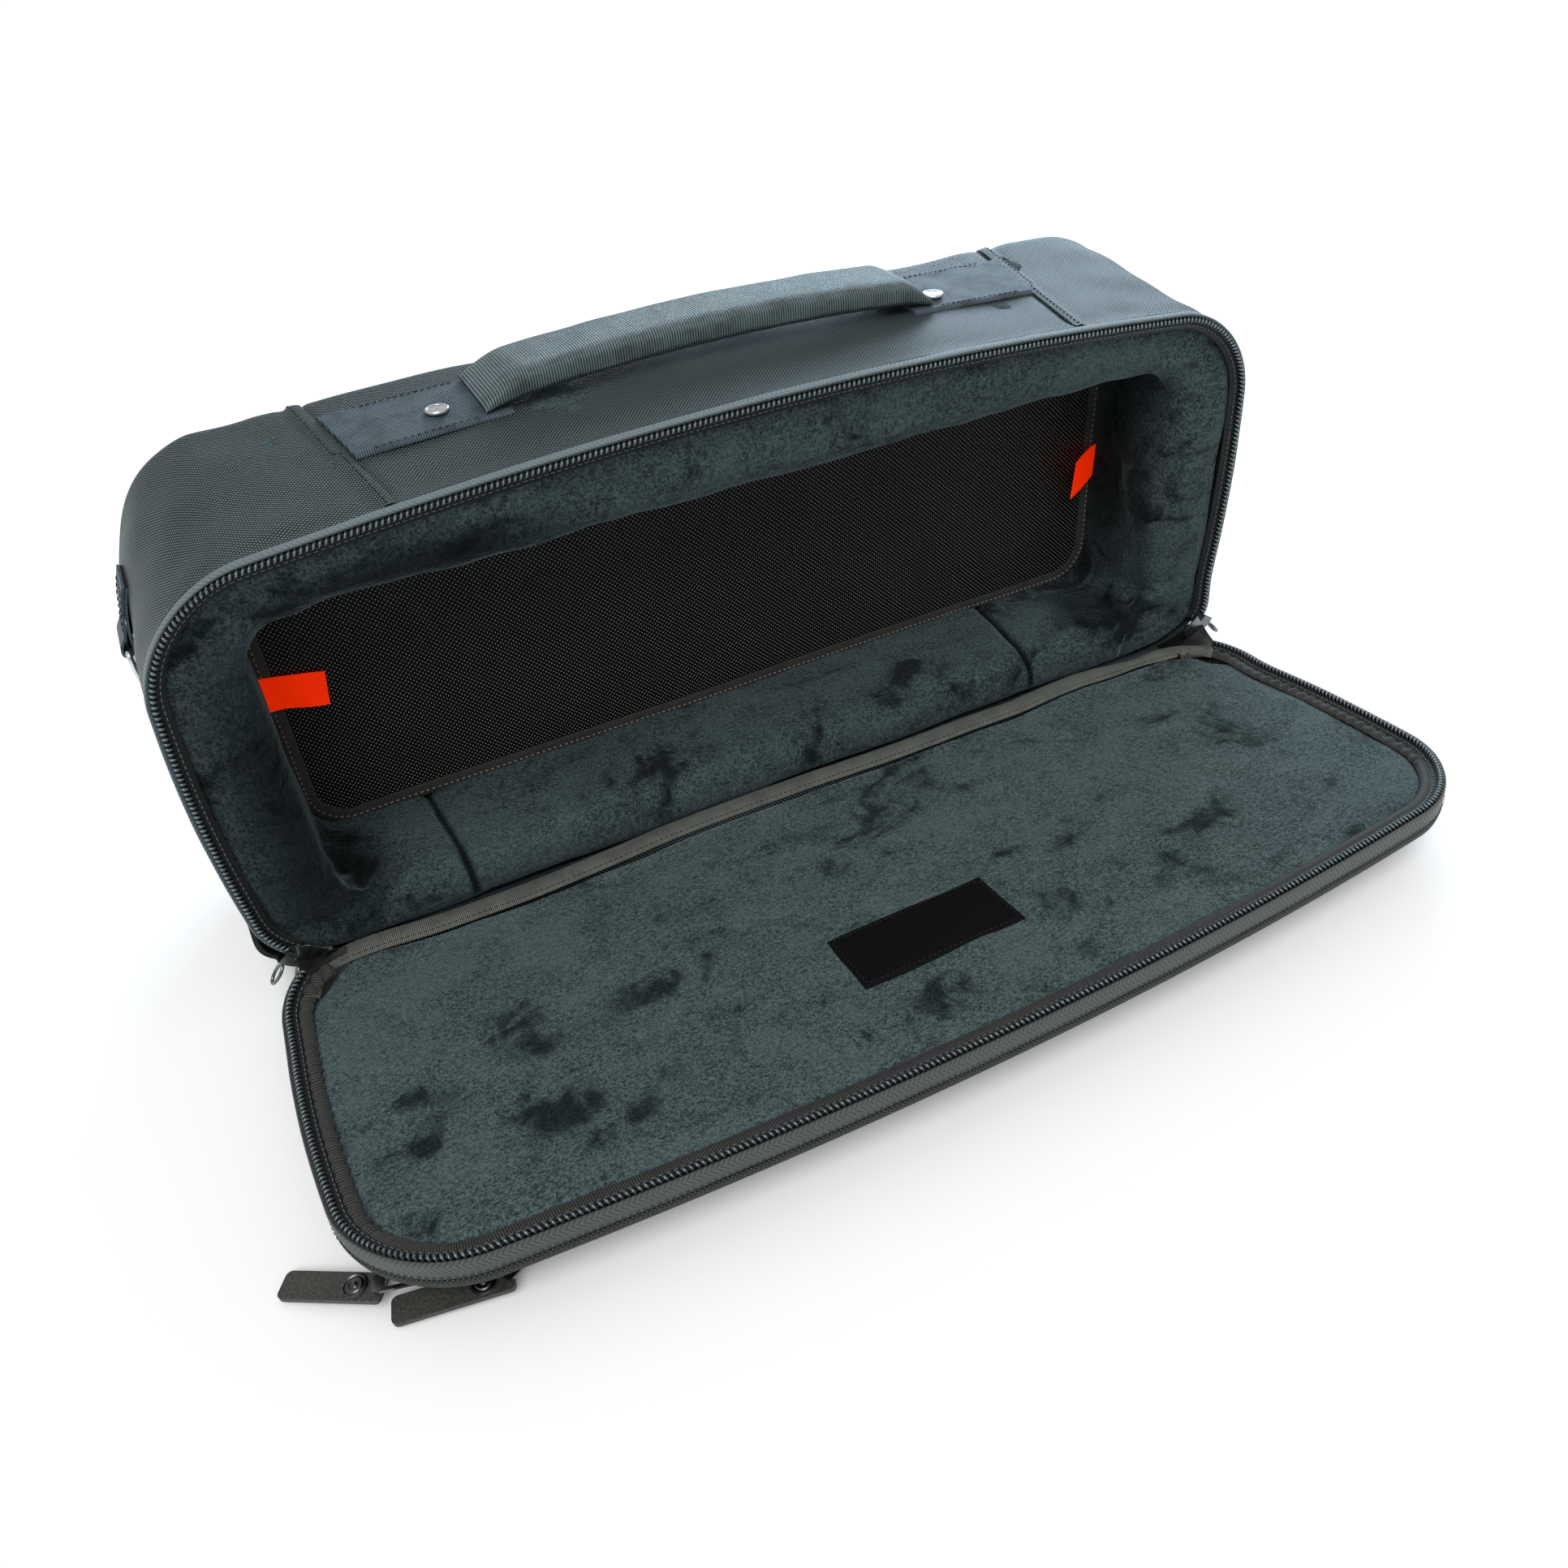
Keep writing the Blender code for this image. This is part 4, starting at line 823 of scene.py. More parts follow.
def zip_half(which):
    """Tape and coil of the case's or the lid's half of the zip."""
    lid = which == "lid"
    place = (lambda u, i, y: zip_path(u, i, -y)) if lid else shell
    body = "lid" if lid else "case_body"
    u = even_run(lambda v: place(v, 0.0, 0.0), -0.5, 5.5, 2.5)
    # the tape's outer part, from the coil over the rim to the seam
    prof_out = [(1.3, 1.6), (0.6, 0.55), (0.0, 0.4), (-0.35, 1.1), (-0.42, 2.4), (-0.35, 4.0)]
    prof_in = [(1.8, 2.1), (1.4, 1.6), (1.1, 1.6), (0.9, 1.9), (0.9, 2.6), (0.9, 4.0)]
    if lid:
        prof_out += [(-0.3, 6.0), (-0.25, 8.0), (0.1, 10.1)]
        prof_in += [(0.9, 6.0), (0.9, 8.0), (1.0, 10.1)]
    else:
        prof_out += [(-0.3, 5.4), (0.1, 6.5)]
        prof_in += [(0.9, 5.4), (1.0, 6.5)]
    wob = 0.25 * wave(place(u, 0, 5.0), 42, 31 + lid)
    outer = np.stack([place(u, i, y) for i, y in prof_out], 1)
    inner = np.stack([place(u, i, y) for i, y in prof_in], 1)
    outer = push(outer, inner, np.repeat(wob[:, None], outer.shape[1], 1) * 0.5)
    band = slab(f"{which}_zip_band", outer, inner, M["tape_lid" if lid else "tape"])
    # its inner part lies under the coil, as far as the lining
    if lid:
        rows = ((1.0, 2.2), (2.4, 2.0), (4.0, 2.0), (5.6, 2.3), (7.2, 2.9))
    else:
        rows = ((1.0, 2.3), (2.6, 2.1), (4.4, 2.2), (6.4, 2.8), (8.2, 4.0))
    outer = np.stack([place(u, i, y) for i, y in rows], 1)
    inner = np.stack([place(u, i, y + 0.6) for i, y in rows], 1)
    under = slab(f"{which}_zip_inner", outer, inner, M["tape_dark"])
    o = one_object(f"{which}_zip_cloth", [band, under])
    finish_piece(o, body, [f"{'lid' if lid else 'body'}_zip_tape"])
    rows = []
    if lid:
        nor = unit(place(u, -1.0, 8.4) - place(u, 0.0, 8.4))
        rows.append(stitches("tape_st", place(u, -0.45, 8.6), nor, M["thread_dark"], pitch=2.9, length=2.1, width=0.5, height=0.4))
    nor = unit(place(u, 4.0, -1.0) - place(u, 4.0, 1.0))
    rows.append(stitches("tape_st2", place(u, 6.0, 2.05 if lid else 2.3), nor, M["thread_coil"], pitch=3.1, length=2.2, width=0.6, height=0.45))
    st = joined(f"{which}_tape_stitches", rows)
    finish_piece(st, body)
    # the coil, at the very edge of the mouth
    centre = place(u, 2.8, 0.75)
    inward = unit(place(u, 6.0, 0.75) - place(u, 1.0, 0.75))
    across = unit(place(u, 2.8, 3.0) - place(u, 2.8, 0.5))
    c = coil(f"{which}_zip_teeth", centre, inward, across, M["coil"], pitch=2.6, half_in=1.2, half_y=1.05, wire=0.58, sides=8)
    finish_piece(c, body, [f"{'lid' if lid else 'body'}_zip_coil"])
    core = tube(f"{which}_zip_core", place(u, 2.8, 0.95), 1.0, M["core"], sides=10, up=(0.13, 0.7, 0.7))
    finish_piece(core, body)


# ---------------------------------------------------------------- hinge
HINGE_BLEND = ("case_body", "lid", (0, 1.5, 17), (0, -4.5, 17))
MID_X = [-262, -250, -233, -214, -196, -161, -121, -82, -43, 7, 60, 92, 115, 142, 172, 195, 221, 238, 262]
MID_Y = [-3.0, -1.7, -1.8, -5.0, -5.4, -6.4, -4.4, -1.4, -1.0, -2.0, -4.7, -4.6, -4.4, -5.6, -2.8, -2.6, -6.2, -7.0, -9.0]


def hinge():
    u = np.linspace(5.55, 7.45, 150)
    body_part = [(1.0, y) for y in (10.0, 7.0, 4.0, 2.0, 0.9)]
    lid_part = [(1.0, n) for n in (-1.2, -2.4, -4.4, -7.2, -10.0)]
    mid = [shell(u, i, y) for i, y in body_part]
    low = [lid_shell(u, i, n) for i, n in lid_part]
    a, b = mid[-1], low[0]
    bridge = [a * (1 - t) + b * t + np.array([0, 0, 0.5 * math.sin(PI * t)]) for t in (0.25, 0.5, 0.75)]
    outer = np.stack(mid + bridge + low, 1)
    down = np.gradient(outer, axis=1)
    side = np.gradient(outer, axis=0)
    nor = unit(np.cross(side, down))
    inner = outer + nor * 0.8
    o = slab("hinge_cloth", outer - nor * 0.4, inner, M["top"])
    finish_piece(o, None, ["hinge_panel", "lid_hinge_panel"], HINGE_BLEND)
    # ribbed binding along the fold; its ends turn down to meet the lid's binding
    x = np.linspace(-248, 240, 240)
    my = np.interp(x, MID_X, MID_Y)
    k = np.ones(13) / 13
    my = np.convolve(np.pad(my, 6, mode="edge"), k, "valid")
    left = [(-276.5, -24.5), (-274.6, -19.0), (-272.0, -13.6), (-268.0, -8.0), (-261.5, -4.2), (-254.5, -2.4)]
    right = [(247.0, -7.6), (254.0, -8.4), (261.5, -10.4), (268.0, -14.0), (273.5, -18.5), (277.5, -23.5)]
    path = np.array([(a, b, 0.0) for a, b in left] + list(zip(x, my, 0 * x)) + [(a, b, 0.0) for a, b in right])
    path = resample(path, step=1.6)
    for _ in range(4):
        path[1:-1] = (path[:-2] + 2 * path[1:-1] + path[2:]) / 4
    t = unit(np.gradient(path, axis=0))
    across = np.stack([-t[:, 1], t[:, 0], 0 * t[:, 0]], -1)
    ends = smooth01((np.abs(path[:, 0]) - 246) / 26)
    drop = 0.8 * ends
    size = 1 - 0.22 * ends - 0.38 * np.exp(-(((path[:, 0] - 231) / 16) ** 2))
    s = arc_len(path)
    jig = 0.3 * wave(path, 22, 41) + (0.15 + 0.5 * smooth01((np.abs(path[:, 0]) - 215) / 30)) * np.sin(2 * PI * s / 3.6 + 1.5 * np.sin(s / 17))
    prof = [(6.2, 18.0), (5.4, 18.9), (3.4, 19.5), (0.8, 19.9), (-1.8, 19.9), (-4.0, 19.3), (-5.2, 18.4), (-5.8, 17.4)]
    p = np.array(prof)
    tt = unit(np.gradient(p, axis=0))
    n2 = np.stack([-tt[:, 1], tt[:, 0]], -1)
    n2 *= np.sign(n2[:, 1:2] + 1e-9)
    q = p - n2 * 0.9
    up = np.array([0, 0, 1.0])

    def at(a, b):
        return path + across * (a * size)[:, None] + up * (b + drop + 0.3 * jig * (abs(a) < 6))[:, None]

    outer = np.stack([at(a, b) for a, b in prof], 1)
    inner = np.stack([path + across * (a * size)[:, None] + up * (b + drop)[:, None] for a, b in q], 1)
    o = slab("hinge_strip", outer, inner, M["grosgrain"])
    blend = ("case_body", "lid", (0, 2.0, 18), (0, -5.0, 18))
    finish_piece(o, None, ["hinge_binding"], blend)
    keep = np.abs(path[:, 0]) < 262
    line = (path + across * (-4.2 * size)[:, None] + up * (19.15 + drop)[:, None])[keep]
    nor = unit(up * 0.9 - across[keep] * 0.45)
    st = stitches("hinge_strip_stitches", line, nor, M["thread_dark"], pitch=3.0, length=2.2, width=0.5, height=0.4)
    finish_piece(st, None, (), blend)


def gussets():
    """The folded corner pieces at both ends of the zip."""
    for side, name in ((1, "right"), (-1, "left")):
        u = np.linspace(-0.42, -0.95, 30) if side > 0 else np.linspace(5.42, 5.90, 26)
        top = shell(u, 3.2, 2.4)
        low = zip_path(u, 3.2, -2.4)
        t = np.linspace(0, 1, 14)[None, :, None]
        sag = np.array([0, 0, -1.0]) * (np.sin(PI * t) * 2.0)
        inw = (shell(u, 9.0, 2.4) - top)[:, None] * 0.22 * np.sin(PI * t)
        mid = top[:, None] * (1 - t) + low[:, None] * t + sag * 0.4 + inw
        crinkle = 0.35 * np.sin(np.linspace(0, 4 * PI, len(u)))[:, None, None] * np.sin(PI * t)
        mid = mid + crinkle * np.array([0, 0.6, 0.8])
        # it ends under the lid's binding
        tuck = [zip_path(u, i, n) for i, n in ((6.0, -6.0), (9.5, -8.5), (13.0, -11.0))]
        mid = np.concatenate([mid, np.stack(tuck, 1)], 1)
        nor = unit(np.cross(np.gradient(mid, axis=0), np.gradient(mid, axis=1)))
        o = slab(f"zip_end_fold_{name}", mid + nor * 0.3, mid - nor * 0.3, M["satin"])
        finish_piece(o, None, [f"zip_end_gusset_{name}"], HINGE_BLEND)


# ---------------------------------------------------------------- pads


def crease(p, a, b, depth, width, seed=0):
    """How far a fold along the segment from a to b draws a place in."""
    a, b = np.asarray(a, float), np.asarray(b, float)
    d = b - a
    size = np.linalg.norm(d)
    t = np.clip(((p - a) @ d) / size**2, 0, 1)
    near = a + t[:, None] * d
    r = np.linalg.norm(p - near, axis=1)
    fade = np.sin(PI * np.clip(t, 0.03, 0.97)) ** 0.6
    return depth * np.exp(-((r / width) ** 2)) * fade


def soft_pad(name, nodes, voxel=0.005, shrink=0.5, pressure=4.0, cap=2.2, edit=None, look="plush", frames=20, sub=1):
    """A pad puffed up from the CAD shape, in the same place."""
    src = [NODES[n] for n in nodes]
    bm = bmesh.new()
    for s in src:
        bm.from_mesh(s.data)
    bmesh.ops.remove_doubles(bm, verts=bm.verts, dist=1e-5)
    bmesh.ops.recalc_face_normals(bm, faces=bm.faces)
    mesh = bpy.data.meshes.new(name)
    bm.to_mesh(mesh)
    bm.free()
    o = bpy.data.objects.new(name, mesh)
    bpy.context.scene.collection.objects.link(o)
    bpy.ops.object.select_all(action="DESELECT")
    o.select_set(True)
    bpy.context.view_layer.objects.active = o
    rm = o.modifiers.new("remesh", "REMESH")
    rm.mode = "VOXEL"
    rm.voxel_size = voxel
    bpy.ops.object.modifier_apply(modifier="remesh")
    me = o.data
    n = len(me.vertices)
    co = np.zeros(n * 3)
    nor = np.zeros(n * 3)
    me.vertices.foreach_get("co", co)
    me.vertices.foreach_get("normal", nor)
    co, nor = co.reshape(-1, 3), nor.reshape(-1, 3)
    rest = co.copy()
    co = co - nor * shrink * 0.001
    me.vertices.foreach_set("co", co.ravel())
    me.update()
    cl = o.modifiers.new("cloth", "CLOTH")
    cl.settings.quality = 4
    cl.settings.mass = 0.3
    cl.settings.tension_stiffness = 18
    cl.settings.compression_stiffness = 18
    cl.settings.bending_stiffness = 1.2
    cl.settings.use_pressure = True
    cl.settings.uniform_pressure_force = pressure
    cl.settings.effector_weights.gravity = 0.0
    cl.collision_settings.use_collision = False
    cl.collision_settings.use_self_collision = False
    scene = bpy.context.scene
    scene.frame_start, scene.frame_end = 1, frames
    cl.point_cache.frame_start, cl.point_cache.frame_end = 1, frames
    for f in range(1, frames + 1):
        scene.frame_set(f)
    dg = bpy.context.evaluated_depsgraph_get()
    ev = o.evaluated_get(dg).to_mesh()
    moved = np.zeros(n * 3)
    ev.vertices.foreach_get("co", moved)
    o.evaluated_get(dg).to_mesh_clear()
    moved = moved.reshape(-1, 3)
    o.modifiers.remove(cl)
    scene.frame_set(1)
    d = moved - co
    d[~np.isfinite(d)] = 0
    size = np.linalg.norm(d, axis=1, keepdims=True)
    d *= np.minimum(1.0, cap * 0.001 / np.maximum(size, 1e-9))
    co = co + d
    me.vertices.foreach_set("co", co.ravel())
    me.update()
    sm = o.modifiers.new("smooth", "SMOOTH")
    sm.factor, sm.iterations = 0.5, 3
    bpy.ops.object.modifier_apply(modifier="smooth")
    if sub:
        su = o.modifiers.new("sub", "SUBSURF")
        su.levels = su.render_levels = sub
        bpy.ops.object.modifier_apply(modifier="sub")
    me = o.data
    n = len(me.vertices)
    co, nor = np.zeros(n * 3), np.zeros(n * 3)
    me.vertices.foreach_get("co", co)
    me.vertices.foreach_get("normal", nor)
    co, nor = co.reshape(-1, 3) * 1000 + [0, FRAME_Y, 0], nor.reshape(-1, 3)
    if edit is not None:
        co = edit(co, nor)
    me.vertices.foreach_set("co", ((co - [0, FRAME_Y, 0]) * 0.001).ravel())
    me.update()
    me.shade_smooth()
    me.materials.clear()
    me.materials.append(M[look])
    return o


def fuzz(co, nor, seed, big=0.8, small=0.35):
    return co + nor * (big * wave(co, 55, seed) + small * wave(co, 17, seed + 1))[:, None]


def floor_seam(side, y):
    f = np.clip((y - 3.5) / 71.5, 0.0, 1.6)
    return -(184.2 + 4.5 * f) if side < 0 else 163.0 + 6.0 * f


def round_corner(co, sx, top):
    """Draws the room's inner corner into a curve."""
    x, y, z = co[:, 0] * sx, co[:, 1], co[:, 2]
    front = 13.0 - np.sqrt(np.maximum(0, 13.0**2 - np.clip(18.0 - y, 0, 13.0) ** 2))
    front = np.where(y < 5, 13.0, front)
    if top:
        r = 24.0 - 20.0 * smooth01((y - 13) / 34)
        cz, way = 194.0 + front - r, 1.0
    else:
        r = 19.0 + 5.0 * smooth01((20 - y) / 14)
        cz, way = 38.0 - 1.2 * front + r, -1.0
    cx = 250.0 + front - r
    dx, dz = x - cx, (z - cz) * way
    d = np.hypot(dx, dz)
    inside = (dx > 0) & (dz > 0)
    fade = 1 - smooth01((d - 1.45 * r) / 11.0)
    k = np.where(inside & (d > r), (d - (d - r) * fade) / np.maximum(d, 1e-6), 1.0)
    out = co.copy()
    out[:, 0] = np.where(inside, (cx + dx * k) * sx, co[:, 0])
    out[:, 2] = np.where(inside, cz + dz * k * way, co[:, 2])
    return out


def pads():
    def seams(co, nor):
        """Sinks the edges of the floor's lining along its two seams."""
        up = np.clip(nor[:, 2], 0, 1) * (co[:, 2] < 60)
        for side in (-1, 1):
            d = np.abs(co[:, 0] - floor_seam(side, co[:, 1]))
            co[:, 2] -= up * (4.2 * np.exp(-((d / 2.4) ** 2)) + 1.8 * np.exp(-((d / 9.0) ** 2)))
        return co

    def folds(co, nor, rows):
        for a, b, depth, width in rows:
            co = co - nor * crease(co, a, b, depth, width)[:, None]
        return co

    def walls(co, nor):
        co = co.copy()
        co[:, 0] += corner_out(co[:, 0] + 8.0, co[:, 1], co[:, 2] - 4.0)
        for sx in (-1, 1):
            for top in (False, True):
                co = round_corner(co, sx, top)
        co = fuzz(co, nor, 51)
        co = seams(co, nor)
        return folds(co, nor, [
            ((-170, 20, 38), (-120, 12, 38), 1.5, 6.0), ((90, 12, 38), (150, 30, 38), 1.3, 6.0),
            # lower left corner
            ((-262, 6, 30), (-236, 44, 44), 5.0, 4.5), ((-250, 4, 34), (-226, 34, 38), 4.0, 4.5), ((-247, 66, 62), (-238, 30, 43), 4.0, 5.0),
            ((-236, 3, 30), (-216, 20, 37), 2.8, 4.0), ((-254, 30, 60), (-244, 12, 42), -2.4, 5.0),
            # lower right corner
            ((247, 66, 66), (236, 20, 42), 5.0, 5.5), ((256, 8, 56), (240, 26, 42), 3.5, 4.5), ((262, 6, 40), (228, 16, 38), 2.6, 4.5),
            ((250, 60, 130), (246, 26, 66), 3.2, 8.0), ((252, 40, 150), (250, 62, 90), 2.4, 7.0), ((253, 16, 130), (253, 14, 60), -1.6, 8.0),
            # upper right corner
            ((268, 5, 206), (240, 30, 192), 4.0, 4.5), ((252, 4, 214), (226, 24, 197), 3.4, 4.5), ((270, 6, 190), (246, 36, 178), 3.4, 5.0), ((236, 4, 216), (214, 20, 200), 2.4, 4.0),
            ((262, 6, 176), (250, 40, 160), 2.2, 6.0),
            # upper left corner
            ((-266, 5, 204), (-240, 34, 190), 3.4, 5.0), ((-250, 4, 214), (-222, 26, 196), 2.6, 5.0), ((-262, 8, 178), (-246, 40, 168), 2.2, 6.0),
            ((-170, 8, 206), (-60, 10, 208), 1.2, 7.0), ((40, 9, 208), (170, 8, 206), 1.3, 7.0),
        ])

    room = ["left_side_pad", "top_pad", "right_side_pad", "floor_pad_left", "floor_pad_centre", "floor_pad_right"]
    o = soft_pad("room_lining", room, look="plush_walls", voxel=0.0040, edit=walls)
    finish_piece(o, "case_body", room)

    o = soft_pad("rear_lining", ["back_pad"], look="plush", shrink=0.2, cap=0.6, voxel=0.006, edit=None)
    finish_piece(o, "case_body", ["back_pad"])

    def lid_edit(co, nor):
        s, n = lid_coords(co)
        x = co[:, 0]
        w = smooth01((n + 9.5) / 2.5)
        t = np.clip((34.0 - s) / 24.4, 0, 1)
        target = -1.5 - np.interp(x, MID_X, MID_Y)
        target = np.maximum(target, -2.0) + np.where(x < 0, 15.0, 11.0) * smooth01((np.abs(x) - 242) / 30)
        s2 = s + w * (np.where(s < 34, 34.0 - t * (34.0 - target), s) - s)
        n2 = n + w * (3.9 * smooth01((t - 0.5) / 0.4) + 0.8 * t)
        dx, ds, dn = hinge_pull(x, s2)
        rim = smooth01((np.abs(x) - 228.0) / 34.0) * smooth01((n + 14.0) / 6.0)
        co = lid_frame(x + dx * rim, s2 + ds * rim, n2 + 0.2 * dn * rim)
        co = co + nor * (0.55 * wave(co, 70, 63) + 0.3 * wave(co, 24, 64))[:, None] * (1 - 0.7 * w * smooth01((t - 0.7) / 0.3))[:, None]
        for a, b, depth, width in (((-170, 60), (-150, 95), 1.6, 5), ((-60, 40), (-20, 52), 1.0, 6), ((180, 120), (215, 150), 1.2, 6), ((230, 26), (262, 44), 1.6, 5), ((-262, 30), (-236, 60), 1.4, 5)):
            pa, pb = lid_frame(a[0], a[1], -4.0), lid_frame(b[0], b[1], -4.0)
            co = co - nor * crease(co, pa, pb, depth, width)[:, None]
        return co

    o = soft_pad("lid_lining", ["lid_pad"], look="plush_lid", edit=lid_edit, cap=1.2)
    finish_piece(o, "lid", ["lid_pad"])


# ---------------------------------------------------------------- divider


def divider():
    y0 = 74.0
    x = np.linspace(-249.4, 249.4, 251)
    t = np.linspace(0, 1, 78)
    xx, tt = np.meshgrid(x, t, indexing="ij")
    r = 24.0
    e = np.clip(np.abs(xx) - (249.4 - r), 0, r)
    low = 38.3 + (r - np.sqrt(np.maximum(r * r - e * e, 0.0)))
    zz = low + (193.4 - low) * tt
    p = np.stack([xx, 0 * xx, zz], -1)
    sway = (1.1 * wave(p, 130, 71) + 0.35 * wave(p, 45, 72)) * smooth01((193.4 - zz) / 40)
    mid = np.stack([xx, y0 + 1.3 + sway, zz], -1)
    h = np.array([0, 1.0, 0])
    uv = np.stack([xx, zz], -1) * 0.001
    o = slab("divider_cloth", mid - h * 1.1, mid + h * 1.1, M["divider"], uv=uv)
    finish_piece(o, "divider", ["divider_panel"])

    def face(px, pz, off):
        q = np.stack([px, 0 * px, pz], -1)
        sw = (1.1 * wave(q, 130, 71) + 0.35 * wave(q, 45, 72)) * smooth01((193.4 - pz) / 40)
        return np.stack([px, y0 + 1.3 + sw - off, pz], -1)

    # binding round the free edges: down the left, along the bottom, up the right
    def line(inset):
        rr = r - inset
        xs, zs = [], []
        X, Z = 249.4 - inset, 38.3 + inset
        for v in np.linspace(191.5, Z + rr, 50):
            xs.append(-X); zs.append(v)
        for a in np.radians(np.linspace(180, 270, 20))[1:]:
            xs.append(-X + rr + rr * np.cos(a)); zs.append(Z + rr + rr * np.sin(a))
        for v in np.linspace(-X + rr, X - rr, 150)[1:]:
            xs.append(v); zs.append(Z)
        for a in np.radians(np.linspace(270, 360, 20))[1:]:
            xs.append(X - rr + rr * np.cos(a)); zs.append(Z + rr + rr * np.sin(a))
        for v in np.linspace(Z + rr, 191.5, 50)[1:]:
            xs.append(X); zs.append(v)
        return np.array(xs), np.array(zs)

    cols_o, cols_i = [], []
    for inset, off in ((-0.3, 0.2), (0.0, 1.9), (1.2, 2.2), (3.6, 2.25), (6.0, 2.2), (7.0, 1.9), (7.2, 1.3)):
        px, pz = line(inset)
        q = face(px, pz, off)
        cols_o.append(q)
        q2 = face(px, pz, min(off, 1.25) - 0.05)
        cols_i.append(q2)
    ripple = 0.12 * wave(cols_o[3], 9, 73)[:, None]
    outer = np.stack(cols_o, 1)
    outer[..., 1] -= ripple
    o = slab("divider_edge_binding", outer, np.stack(cols_i, 1), M["grosgrain_dark"])
    finish_piece(o, "divider", ["divider_binding"])
    px, pz = line(2.6)
    st = stitches("divider_stitches", face(px, pz, 2.25), np.array([0, -1.0, 0]), M["thread"], pitch=3.3, length=1.6, width=0.6, height=0.5)
    finish_piece(st, "divider")
    # ribbon tabs
    v = np.linspace(0, 1, 24)
    w = np.linspace(0, 1, 14)
    vv, ww = np.meshgrid(v, w, indexing="ij")
    xs = -249.0 + (28.0 + 2.5 * ww) * vv
    zs = 117.3 - 4.0 * vv + (18.7 - 0.3 * vv) * ww + 0.5 * np.sin(vv * 5)
    ys = 71.0 - 1.6 * vv * vv + 0.5 * np.sin(vv * 7 + ww * 2)
    mid = np.stack([xs, ys, zs], -1)
    uv = np.stack([vv * 0.0305, ww * 0.021], -1)
    o = slab("ribbon_left", mid + [0, -0.35, 0], mid + [0, 0.35, 0], M["ribbon"], uv=uv)
    finish_piece(o, "divider_tab_left", ["divider_tab_left"])
    foot = np.array([248.6, 71.4, 118.0])
    along = unit([-25.0, -14.0, 0.0])
    thick = unit(np.cross(along, [0, 0, 1]))
    L = (31.8 - 3.4 * ww) * vv
    lo = -9.4 - 2.6 * vv
    hi = 10.2 - 0.5 * vv
    hgt = lo + (hi - lo) * ww
    mid = foot + along * L[..., None] + np.array([0, 0, 1.0]) * hgt[..., None] + thick * (1.2 * np.sin(vv * 3.4) * (ww - 0.4))[..., None]
    uv = np.stack([vv * 0.029, ww * 0.025], -1)
    o = slab("ribbon_right", mid + thick * 0.35, mid - thick * 0.35, M["ribbon"], uv=uv)
    finish_piece(o, "divider_tab_right", ["divider_tab_right"])


# ---------------------------------------------------------------- handle


